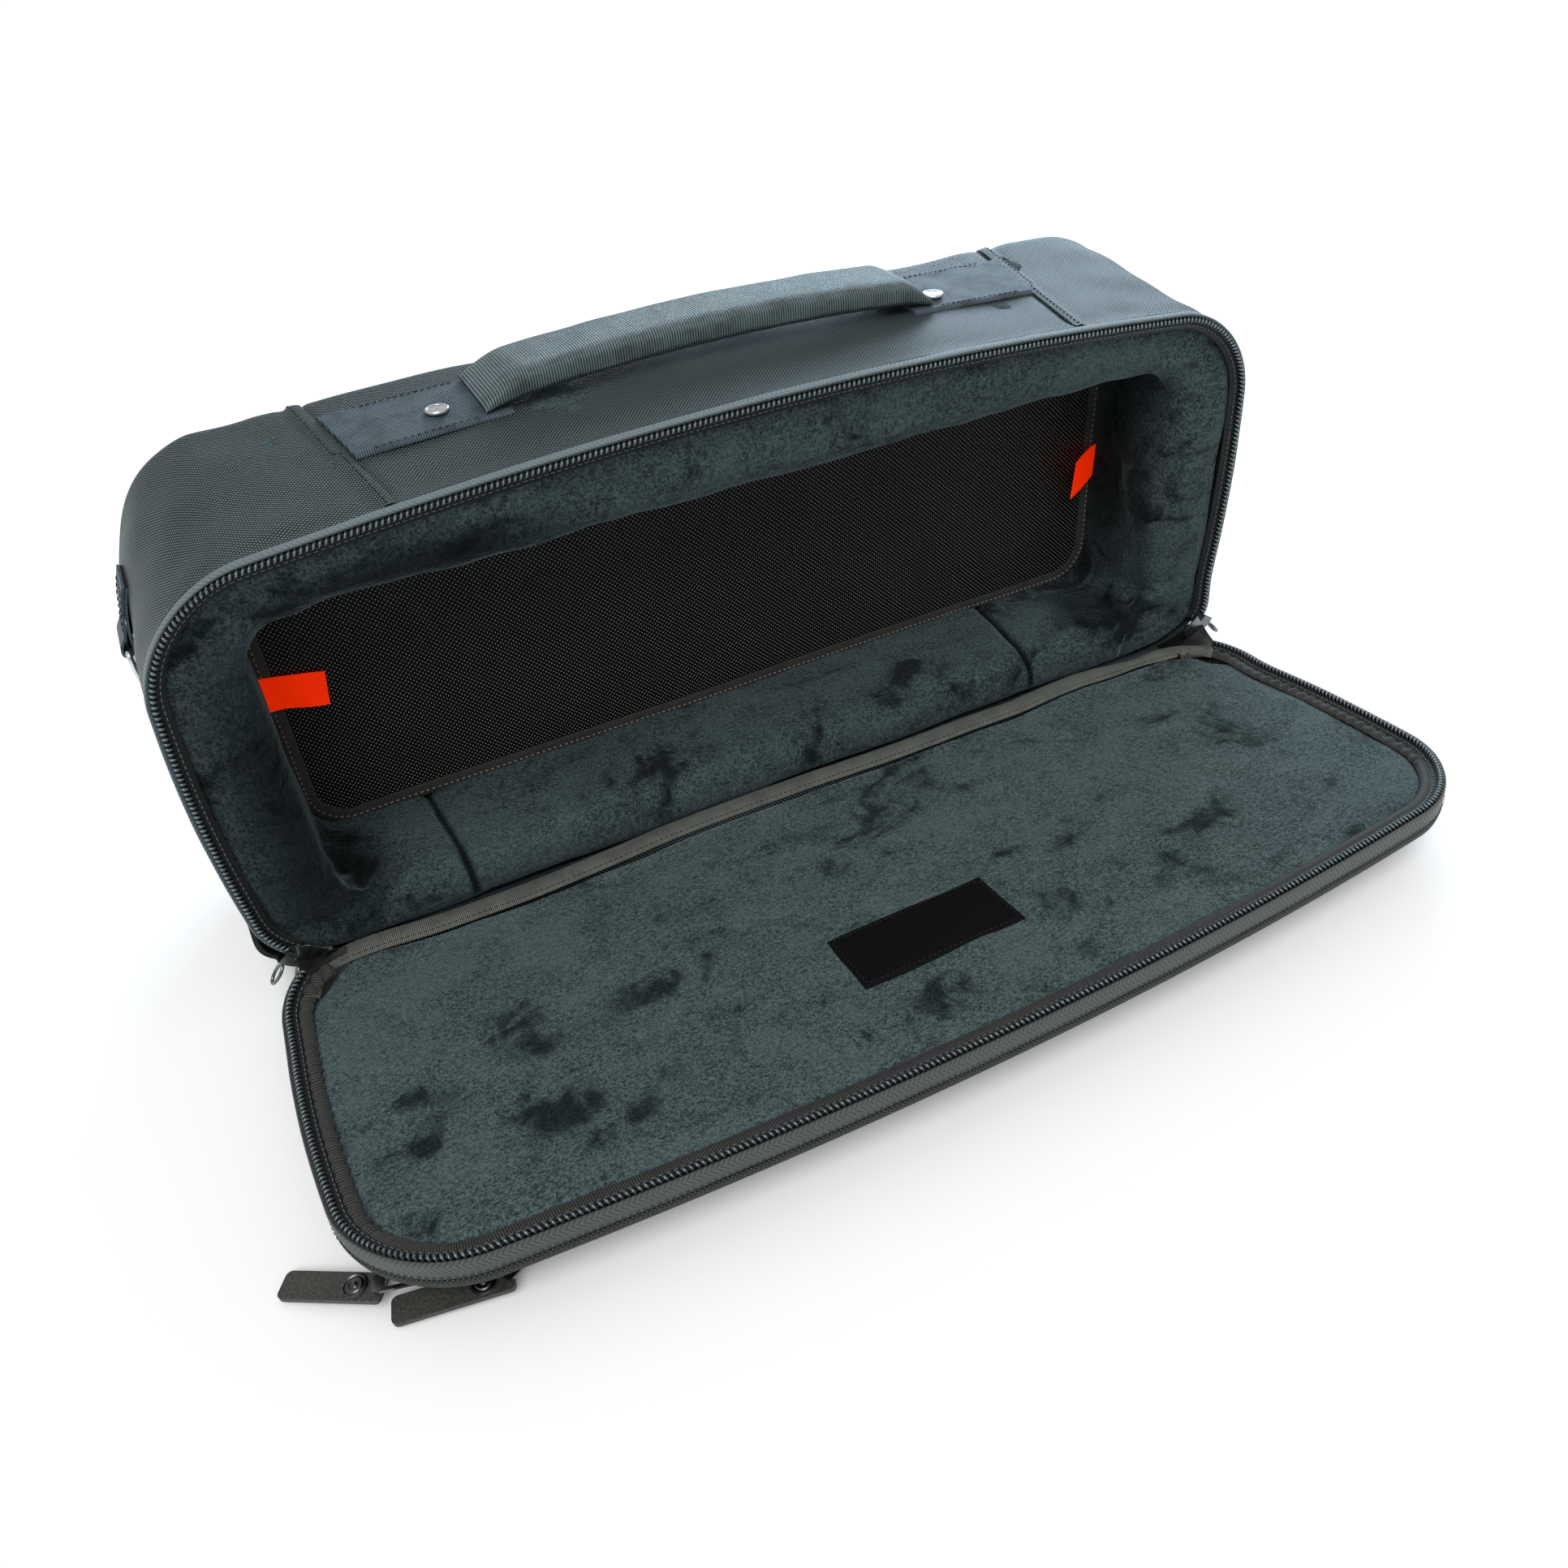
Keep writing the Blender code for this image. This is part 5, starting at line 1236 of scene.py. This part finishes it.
def handle():
    for side, name in ((-1, "left"), (1, "right")):
        x = np.linspace(106.0, 176.0, 70)
        y = np.linspace(51.0, 97.0, 46)
        xx, yy = np.meshgrid(x, y, indexing="ij")
        far = np.where(xx > 168.0, 168.0 + (xx - 168.0) / 8.0 * (seam_x(yy) - 1.0 - 168.0), xx)
        ex = np.minimum(yy - 51.0, 97.0 - yy)
        rx, ry = (136.0, 69.7) if side < 0 else (125.2, 65.9)
        lift = 2.1 - 1.3 * np.exp(-((ex / 0.8) ** 2)) + 0.3 * wave(np.stack([far, yy, 0 * yy], -1), 26, 81 + side)
        rv = np.hypot(far - rx, yy - ry)
        lift -= 0.5 * np.exp(-(((rv - 6.5) / 2.6) ** 2))
        outer = top_surface(far, yy, lift)
        inner = top_surface(far, yy, 0.25)
        sg = np.array([side, 1, 1])
        uv = np.stack([far, yy], -1) * 0.001
        o = slab(f"handle_webbing_{name}", outer * sg, inner * sg, M["webbing"], uv=uv)
        finish_piece(o, "case_body", [f"handle_strip_{name}"])
        rows = []
        for k, yv in enumerate((53.2, 94.8)):
            xs = np.linspace(121.0, 170.5 + (3 if yv > 80 else 0), 40)
            line = top_surface(xs, yv, 2.15) * sg
            rows.append(stitches(f"strap_stitches_{name}_{k}", line, [0, 0, 1.0], M["thread_dark"], pitch=3.2, length=2.3, width=0.6, height=0.5))
        o = joined(f"strap_stitches_{name}", rows)
        finish_piece(o, "case_body")
        c = top_surface(rx, ry, 2.0)
        nrm = unit(top_surface(rx, ry, 3.0) - top_surface(rx, ry, 2.0))
        c, nrm = c * sg, nrm * sg
        prof = [(0.0, 0.0), (5.1, 0.0), (5.5, 0.2), (5.65, 0.6), (5.65, 1.2), (5.4, 1.65), (4.9, 1.85), (4.5, 1.8), (4.2, 1.5), (2.6, 1.45), (2.2, 1.65), (1.5, 1.7), (1.2, 1.5), (0.0, 1.5)]
        o = lathe(f"rivet_cap_{name}", c, nrm, prof, M["chrome"])
        finish_piece(o, "case_body", [f"handle_rivet_{name}"])

    # padded grip: a flat-topped sleeve that runs out thin at both ends
    n = 300
    xs = np.linspace(-118, 118, n)
    f = 1 - (xs / 118.0) ** 2
    right = xs > 0
    run = np.where(right, 17.0, 24.0)
    e = np.sin(PI / 2 * np.clip((118 - np.abs(xs)) / run, 0, 1)) ** 0.85
    base = top_surface(xs, 75.0, 0.0)[:, 2]
    lean = (top_surface(xs, 97.0, 0.0)[:, 2] - top_surface(xs, 53.0, 0.0)[:, 2]) / 44.0
    low = base + 2.3 + 3.0 * f * e
    high = base + 4.6 + (10.6 + 5.0 * f) * e
    half = 22.0 - 2.3 * f + 0.35 * wave(np.stack([xs, 0 * xs, 0 * xs], -1), 60, 83)
    m = 64
    a = 2 * PI * np.arange(m) / m
    c, s = np.cos(a), np.sin(a)
    ex = 0.46
    sx, sz = np.sign(c) * np.abs(c) ** ex, np.sign(s) * np.abs(s) ** (ex * 1.15)
    mid, hh = (low + high) / 2, (high - low) / 2
    yy = 75.0 + half[:, None] * sx[None]
    zz = mid[:, None] + hh[:, None] * sz[None] + lean[:, None] * (yy - 75.0)
    # the top falls towards the back, from a soft ridge over the front side
    zz = zz - (1.5 * e)[:, None] * ((sx + 0.75) * (s > 0))[None] * (sx > -0.75)[None]
    p = np.stack([np.repeat(xs[:, None], m, 1), yy, zz], -1)
    out = unit(np.stack([0 * sx, sx, 0.6 * sz], -1))[None]
    crumple = 0.35 * wave(p, 30, 84) + 0.5 * np.exp(-(((118 - np.abs(xs)) / 14.0) ** 2))[:, None] * wave(p * [1.6, 0.5, 1], 12, 85)
    ring = p + out * (crumple * (s > -0.2)[None])[..., None]
    faces, uvs = [], []
    i, j = np.meshgrid(np.arange(n - 1), np.arange(m), indexing="ij")
    i, j = i.ravel(), j.ravel()
    faces += np.stack([i * m + j, i * m + (j + 1) % m, (i + 1) * m + (j + 1) % m, (i + 1) * m + j], 1).tolist()
    X = xs * 0.001
    V = np.arange(m + 1) * 0.0018
    uvs.append(np.stack([np.stack([X[i], V[j]], -1), np.stack([X[i], V[j + 1]], -1), np.stack([X[i + 1], V[j + 1]], -1), np.stack([X[i + 1], V[j]], -1)], 1).reshape(-1, 2))
    faces.append(list(range(m))[::-1])
    faces.append([(n - 1) * m + k for k in range(m)])
    uvs.append(np.zeros((2 * m, 2)))
    o = mesh_piece("grip_cover", ring.reshape(-1, 3), faces, M["grip"], np.concatenate(uvs), 60)
    finish_piece(o, "case_body", ["handle_grip"])
    rows = []
    for way in (-1, 1):
        line = np.stack([xs, 75.0 + way * half * 0.985, low + 2.0 + 0.1 * (high - low) + lean * way * half], -1)[6:-6]
        rows.append(stitches(f"grip_st_{way}", line, [0, float(way), -0.1], M["thread_dark"], pitch=2.6, length=2.0, width=0.7, height=0.6, lift=0.2))
    for way in (-1, 1):
        line = np.array([(way * 117.0, yv, float(base[0] + lean[0] * (yv - 75.0)) + 4.9) for yv in np.linspace(56, 94, 20)])
        rows.append(stitches(f"grip_end_st_{way}", line, [0.3 * way, 0, 1.0], M["thread_dark"], pitch=2.8, length=2.1, width=0.7, height=0.5, lift=-0.3))
    o = joined("grip_stitches", rows)
    finish_piece(o, "case_body")


# ---------------------------------------------------------------- end rings


def rings():
    sg = np.array([22.0, 16.0, 10.0, 5.0, 2.0, -0.6, -2.6, -4.0, -5.0, -5.8, -6.0, -5.7, -5.0, -4.1, -3.0, -1.7, -0.2, 2.8, 6.0, 9.0, 13.0, 18.0, 22.0])
    dd = np.array([0.95, 0.95, 0.95, 0.95, 0.95, 0.95, 0.95, 1.25, 1.9, 2.7, 3.6, 4.5, 5.3, 5.75, 5.9, 5.75, 5.2, 3.2, 2.4, 2.3, 2.4, 2.4, 2.4])
    t = unit(np.gradient(np.stack([sg, dd], -1), axis=0))
    ns, nd = -t[:, 1], t[:, 0]
    for side, name in ((-1, "left"), (1, "right")):
        y = np.linspace(69.0, 91.0, 24)

        def place(s, d, yy):
            p = shell(side_u(s), -d, yy)
            return p * np.array([-side, 1, 1])

        a = place((sg + ns * 0.6)[:, None], (dd + nd * 0.6)[:, None], y[None])
        b = place((sg - ns * 0.6)[:, None], (dd - nd * 0.6)[:, None], y[None])
        o = slab(f"ring_webbing_{name}", a, b, M["webbing"])
        finish_piece(o, "case_body", [f"ring_tab_{name}"])
        rows = []
        for k, yv in enumerate((71.2, 88.8)):
            line = place(np.linspace(3.5, 20, 20), np.interp(np.linspace(3.5, 20, 20), [2.8, 6, 9, 13, 22], [3.2, 2.4, 2.3, 2.4, 2.4]) + 0.65, yv)
            nor = unit(place(10.0, 4.0, yv) - place(10.0, 2.0, yv))
            rows.append(stitches(f"ring_st_{name}_{k}", line, nor, M["thread_dark"]))
        for k, sv in enumerate((4.5, 19.0)):
            d0 = float(np.interp(sv, [2.8, 6, 9, 13, 22], [3.2, 2.4, 2.3, 2.4, 2.4])) + 0.65
            line = place(sv, d0, np.linspace(71.2, 88.8, 20))
            nor = unit(place(sv, 4.0, 80.0) - place(sv, 2.0, 80.0))
            rows.append(stitches(f"ring_st2_{name}_{k}", line, nor, M["thread_dark"]))
        o = joined(f"ring_stitches_{name}", rows)
        finish_piece(o, "case_body")
        bx, _, bz = place(-3.0, 3.6, 80.0)
        path = [(80.0 + v, 0.0) for v in np.linspace(-13, 13, 12)]
        path += [(94.2, -0.25), (94.9, -1.0), (95.3, -2.4)]
        path += [(80.0 + 15.4 * math.cos(w), -5.0 + 15.4 * math.sin(w)) for w in np.radians(-np.linspace(0, 180, 40))]
        path += [(64.7, -2.4), (65.1, -1.0), (65.8, -0.25)]
        line = np.array([(bx, py, bz + pz) for py, pz in path])
        o = tube(f"d_ring_wire_{name}", line, 1.35, M["chrome"], sides=16, closed=True, up=(1, 0, 0))
        finish_piece(o, f"d_ring_{name}", [f"d_ring_{name}"])


# ---------------------------------------------------------------- lid


def lid():
    u = even_run(lambda v: lid_shell(v, 0.0, 0.0), 0.0, 8.0, 3.2)[:-1]
    r = 5.0
    a = np.radians(np.linspace(0, 90, 8))
    ins = [0.0, -0.25, -0.35, -0.2] + list(r - r * np.cos(a))
    ns = [-10.3, -11.0, -12.0, -12.6] + list(-LID_D + r - r * np.sin(a))
    ins_i = [1.6, 1.6, 1.6, 1.6] + list(r - (r - 1.6) * np.cos(a))
    ns_i = [-10.3, -11.0, -12.0, -12.6] + list(-LID_D + r - (r - 1.6) * np.sin(a))
    outer = np.stack([lid_shell(u, i, n) for i, n in zip(ins, ns)], 1)
    inner = np.stack([lid_shell(u, i, n) for i, n in zip(ins_i, ns_i)], 1)
    o = slab("lid_side_cover", outer, inner, M["lid_out"], closed=True)
    finish_piece(o, "lid", ["lid_gusset"])
    # outer face of the lid, which lies on the floor side
    rim = lid_shell(u, r + 0.4, -LID_D)
    s, n = lid_coords(rim)
    mid = lid_frame(np.clip(rim[:, 0], -175, 175), 105.0 + 0 * s, -LID_D + 0 * s)
    t = np.linspace(0, 1, 26)[None, :, None]
    skin = rim[:, None] * (1 - t) + mid[:, None] * t
    down = lid_frame(0, 0, -1) - lid_frame(0, 0, 0)
    outer = skin + down * 0.0
    inner = skin - down * 1.6
    uv = np.stack([skin[..., 0], lid_coords(skin)[0]], -1) * 0.001
    o = slab("lid_face_cover", outer, inner, M["lid_out"], closed=True, uv=np.concatenate([uv, uv[:1]], 0))
    bm = bmesh.new()
    bm.from_mesh(o.data)
    bmesh.ops.remove_doubles(bm, verts=bm.verts, dist=1e-5)
    bm.to_mesh(o.data)
    bm.free()
    finish_piece(o, "lid", ["lid_outer_panel"])
    # binding where the lining meets the zip tape, gathered round the corners
    ub = even_run(lambda v: zip_path(v, 9.0, -4.0), -0.98, 5.70, 0.9)
    line = zip_path(ub, 9.0, -4.0)
    sarc = arc_len(line)
    leg = np.asarray(ub) % 8
    corner = np.clip(1 - np.abs(((leg + 0.5) % 2) - 1.0), 0, 1)
    short = ((leg < 1.3) | (leg > 3.7)).astype(float)
    amp = 0.10 + 1.25 * short
    turn = 2 * PI * sarc / 6.4 + 1.3 * np.sin(sarc / 17.0)
    g = amp * np.sin(turn) * (0.65 + 0.35 * np.sin(sarc / 11.0))
    g2 = amp * np.sin(turn + 1.3) * (0.65 + 0.35 * np.sin(sarc / 9.0))
    prof_o = [(5.5, -4.5), (6.3, -3.2), (7.6, -2.6), (9.0, -2.4), (10.6, -2.7), (11.7, -3.4), (12.5, -4.5)]
    prof_i = [(5.9, -4.8), (6.9, -4.2), (8.0, -3.8), (9.0, -3.7), (10.2, -3.9), (11.2, -4.3), (12.1, -4.9)]
    outer = np.stack([zip_path(ub, i + 0.5 * (g * (k in (0, 1)) + g2 * (k in (5, 6))), n + (g * (6 - k) + g2 * k) / 6 * math.sin(PI * k / 6)) for k, (i, n) in enumerate(prof_o)], 1)
    inner = np.stack([zip_path(ub, i, n) for i, n in prof_i], 1)
    o = slab("lid_lining_binding", outer, inner, M["grosgrain_dark"])
    finish_piece(o, "lid", ["lid_binding"])
    # bare patch with a stitched border
    c0, c1, s0, s1 = -52.7, 34.0, 124.0, 163.0
    X, S = np.meshgrid(np.linspace(c0, c1, 60), np.linspace(s0, s1, 30), indexing="ij")
    edge = np.minimum(np.minimum(X - c0, c1 - X), np.minimum(S - s0, s1 - S))
    lift = -2.7 - 0.6 * np.exp(-((edge / 0.7) ** 2)) + 0.2 * wave(np.stack([X, S, 0 * X], -1), 30, 91)
    outer, inner = lid_frame(X, S, lift), lid_frame(X, S, -4.2)
    uv = np.stack([X, S], -1) * 0.001
    o = slab("lid_patch", outer, inner, M["patch"], uv=uv)
    finish_piece(o, "lid", ["lid_blank_patch"])
    nor = lid_frame(0, 0, 1) - lid_frame(0, 0, 0)
    q = 2.2
    loop = [(c0 + q, s0 + q), (c1 - q, s0 + q), (c1 - q, s1 - q), (c0 + q, s1 - q), (c0 + q, s0 + q)]
    rows = []
    for k in range(4):
        (xa, sa), (xb, sb) = loop[k], loop[k + 1]
        tt = np.linspace(0, 1, 20)
        rows.append(stitches(f"patch_st_{k}", lid_frame(xa + (xb - xa) * tt, sa + (sb - sa) * tt, -2.6), nor, M["thread_dark"], pitch=2.8, length=1.9, width=0.5, height=0.4))
    o = joined("lid_patch_stitches", rows)
    finish_piece(o, "lid")
    # pocket on the outer face
    X, S = np.meshgrid(np.linspace(-252, 252, 170), np.linspace(48, 186, 60), indexing="ij")
    rr = 10.0
    ex, es = np.clip(np.abs(X) - (252 - rr), 0, rr), np.clip(np.abs(S - 117) - (69 - rr), 0, rr)
    k = np.hypot(ex, es)
    sc = np.where(k > rr, rr / np.maximum(k, 1e-9), 1.0)
    X = np.sign(X) * (np.minimum(np.abs(X), 252 - rr) + ex * sc)
    S = 117 + np.sign(S - 117) * (np.minimum(np.abs(S - 117), 69 - rr) + es * sc)
    edge = np.minimum(252 - np.abs(X), 69 - np.abs(S - 117))
    puff = 1.8 + 1.7 * smooth01(edge / 12) + 0.35 * wave(np.stack([X, S, 0 * X], -1), 60, 93) * smooth01(edge / 20)
    outer = lid_frame(X, S, -LID_D - 0.3 - np.minimum(puff, 3.9))
    inner = lid_frame(X, S, -LID_D - 0.3 + 0 * X)
    uv = np.stack([X, S], -1) * 0.001
    o = slab("pocket_cover", outer, inner, M["lid_out"], uv=uv)
    finish_piece(o, "lid", ["front_pocket_panel"])
    # pocket zip: tape and coil
    X, S = np.meshgrid(np.linspace(-250, 244, 120), np.linspace(187, 195, 8), indexing="ij")
    outer, inner = lid_frame(X, S, -LID_D - 0.9), lid_frame(X, S, -LID_D - 0.3)
    o = slab("pocket_zip_tape", outer, inner, M["tape_dark"], uv=np.stack([X, S], -1) * 0.001)
    finish_piece(o, "lid", ["pocket_zip"])
    xs = np.linspace(-248, 242, 400)
    one = np.ones((400, 1))
    c = coil("pocket_zip_teeth", lid_frame(xs, 191.0, -LID_D - 1.75), one * (lid_frame(0, 1, 0) - lid_frame(0, 0, 0)), one * (lid_frame(0, 0, 1) - lid_frame(0, 0, 0)), M["coil"], pitch=1.8, half_in=1.5, half_y=0.55, wire=0.36, sides=5, per=10)
    finish_piece(c, "lid")


SLIDER_AT, SLIDER_HALF = 0.522, 0.105


def zip_sliders():
    """Two folded plates over the zip's end with two upright loops on the outside."""
    ring = [(-2.7, -1.45), (-2.7, 7.2), (-0.5, 7.2), (-0.5, -0.35), (6.9, -0.35), (6.9, 4.4), (8.4, 4.4), (8.4, -1.45)]
    for side, name in ((-1, "left"), (1, "right")):
        sg = np.array([side, 1, 1])
        set_off = np.array([3.5, -4.0, 0]) if side > 0 else np.array([5.0, -3.0, 0])
        u = np.linspace(-SLIDER_AT - SLIDER_HALF, -SLIDER_AT + SLIDER_HALF, 9)
        nip = 1 - 0.10 * (np.abs(np.linspace(-1, 1, 9)) ** 3)
        pts = np.stack([shell(u, 2.85 + (i - 2.85) * nip, 2.9 + (y - 2.9) * nip) for i, y in ring], 1) * sg + set_off
        count = len(ring)
        faces = [list(range(count)), [8 * count + k for k in range(count)][::-1]]
        for k in range(8):
            for i in range(count):
                j = (i + 1) % count
                faces.append([k * count + i, (k + 1) * count + i, (k + 1) * count + j, k * count + j])
        plates = mesh_piece(f"slider_body_{name}", pts.reshape(-1, 3), faces, M["gun_light"], None, 40.0)
        b = plates.modifiers.new("ease", "BEVEL")
        b.width = 0.00035
        b.segments = 3
        b.limit_method = "ANGLE"
        b.angle_limit = math.radians(40)
        finish_piece(plates, f"zip_slider_{name}", [f"zip_slider_{name}"])
        loops = []
        for k, du in enumerate((-0.055, 0.05)):
            base_in = shell(-SLIDER_AT + du, -2.2, 1.0) * sg + set_off
            base_out = shell(-SLIDER_AT + du, -3.2, 1.0) * sg + set_off
            axis = unit(base_out - base_in)
            w = np.linspace(0, 2 * PI, 41)[:-1]
            h = 5.0 - 5.6 * np.cos(w)
            v = base_in[1] + 0.4 + 3.1 * np.sin(w)
            line = np.stack([base_in[0] + axis[0] * h, v, base_in[2] + axis[2] * h], -1)
            tangent = unit(np.cross(axis, [0, 1, 0]))
            loops.append(tube(f"slider_loop_{name}_{k}", line, 0.85, M["gun_light"], sides=14, closed=True, up=tangent))
        o = joined(f"slider_loops_{name}", loops)
        finish_piece(o, f"zip_slider_{name}")


def hardware():
    """Metal and rubber pieces keep their CAD shapes, with their edges eased."""
    looks = {"pocket_slider_1": "gun", "pocket_slider_2": "gun", "pocket_pull_link_1": "gun_light", "pocket_pull_link_2": "gun_light",
             "pocket_pull_tab_1": "rubber", "pocket_pull_tab_2": "rubber"}
    for node, look in looks.items():
        o = NODES[node]
        o.data.materials.clear()
        o.data.materials.append(M[look])
        b = o.modifiers.new("ease", "BEVEL")
        b.width = 0.0007 if look == "rubber" else 0.0003
        b.segments = 3
        b.limit_method = "ANGLE"
        b.angle_limit = math.radians(32)
    for k in (1, 2):
        node = NODES[f"pocket_pull_rivet_{k}"]
        co = np.array([v.co for v in node.data.vertices]) * 1000 + [0, FRAME_Y, 0]
        # the rivet's axis is the thin direction of its points
        c = co.mean(0)
        w, v = np.linalg.eigh(np.cov((co - c).T))
        ax = v[:, 0]
        tab = np.array([q.co for q in NODES[f"pocket_pull_tab_{k}"].data.vertices]) * 1000 + [0, FRAME_Y, 0]
        if (c - tab.mean(0)) @ ax < 0:
            ax = -ax
        h = (co - c) @ ax
        base = c + ax * h.min()
        prof = [(0.0, 0.0), (5.0, 0.0), (5.25, 0.3), (5.1, 0.75), (4.5, 0.95), (4.0, 0.6), (3.5, 0.65), (3.0, 1.15), (2.3, 1.2), (2.0, 0.85), (1.4, 0.9), (1.0, 1.3), (0.0, 1.4)]
        o = lathe(f"pull_rivet_{k}", base, ax, prof, M["gun"])
        finish_piece(o, f"pocket_pull_{k}", [f"pocket_pull_rivet_{k}"])


# ---------------------------------------------------------------- stage


def stage():
    mesh = bpy.data.meshes.new("floor")
    mesh.from_pydata([(-6, -6, 0), (6, -6, 0), (6, 6, 0), (-6, 6, 0)], [], [(0, 1, 2, 3)])
    floor = bpy.data.objects.new("floor", mesh)
    bpy.context.scene.collection.objects.link(floor)
    floor.location = (0, 0, -0.0003)
    m = bpy.data.materials.new("floor_white")
    m.use_nodes = True
    b = m.node_tree.nodes["Principled BSDF"]
    b.inputs["Base Color"].default_value = (0.95, 0.95, 0.95, 1)
    b.inputs["Roughness"].default_value = 0.9
    b.inputs["Specular IOR Level"].default_value = 0.1
    mesh.materials.append(m)
    scene = bpy.context.scene
    world = bpy.data.worlds.new("studio")
    scene.world = world
    world.use_nodes = True
    world.node_tree.nodes["Background"].inputs[0].default_value = (0.96, 0.98, 1.0, 1)
    world.node_tree.nodes["Background"].inputs[1].default_value = 0.62

    def area(name, place, target, size, power, colour=(1, 1, 1)):
        light = bpy.data.lights.new(name, "AREA")
        light.shape = "RECTANGLE"
        light.size, light.size_y = size
        light.energy = power
        light.color = colour
        obj = bpy.data.objects.new(name, light)
        obj.location = place
        obj.rotation_euler = (Vector(target) - Vector(place)).to_track_quat("-Z", "Y").to_euler()
        scene.collection.objects.link(obj)
        return obj

    area("rim_panel", (1.55, 1.75, 0.95), (0.15, 0, 0.2), (1.5, 0.9), 34, (0.62, 0.84, 1.0))
    sun = bpy.data.lights.new("soft_sun", "SUN")
    sun.energy = 1.9
    sun.angle = math.radians(38)
    sun.color = (1.0, 0.995, 0.98)
    obj = bpy.data.objects.new("soft_sun", sun)
    obj.rotation_euler = Vector((0.35, 0.62, -1.1)).to_track_quat("-Z", "Y").to_euler()
    scene.collection.objects.link(obj)
    scene.view_settings.view_transform = "Standard"
    scene.view_settings.look = "None"
    cam = bpy.data.cameras.new("camera")
    cam.lens = 28.567
    cam.sensor_width = 36.0
    cam.clip_start, cam.clip_end = 0.01, 50
    obj = bpy.data.objects.new("camera", cam)
    scene.collection.objects.link(obj)
    d = Vector((0.32643, 0.70454, -0.63013)).normalized()
    up = Vector((0.33022, 0.53964, 0.77443))
    up = (up - d * up.dot(d)).normalized()
    right = d.cross(up)
    m = Matrix((right, up, -d)).transposed().to_4x4()
    m.translation = Vector((-0.23622, -0.55832, 0.45690))
    obj.matrix_world = m
    scene.camera = obj


shell_top()
shell_ends()
shell_bottom_back()
zip_half("case")
zip_half("lid")
hinge()
gussets()
pads()
divider()
handle()
rings()
lid()
zip_sliders()
hardware()
stage()
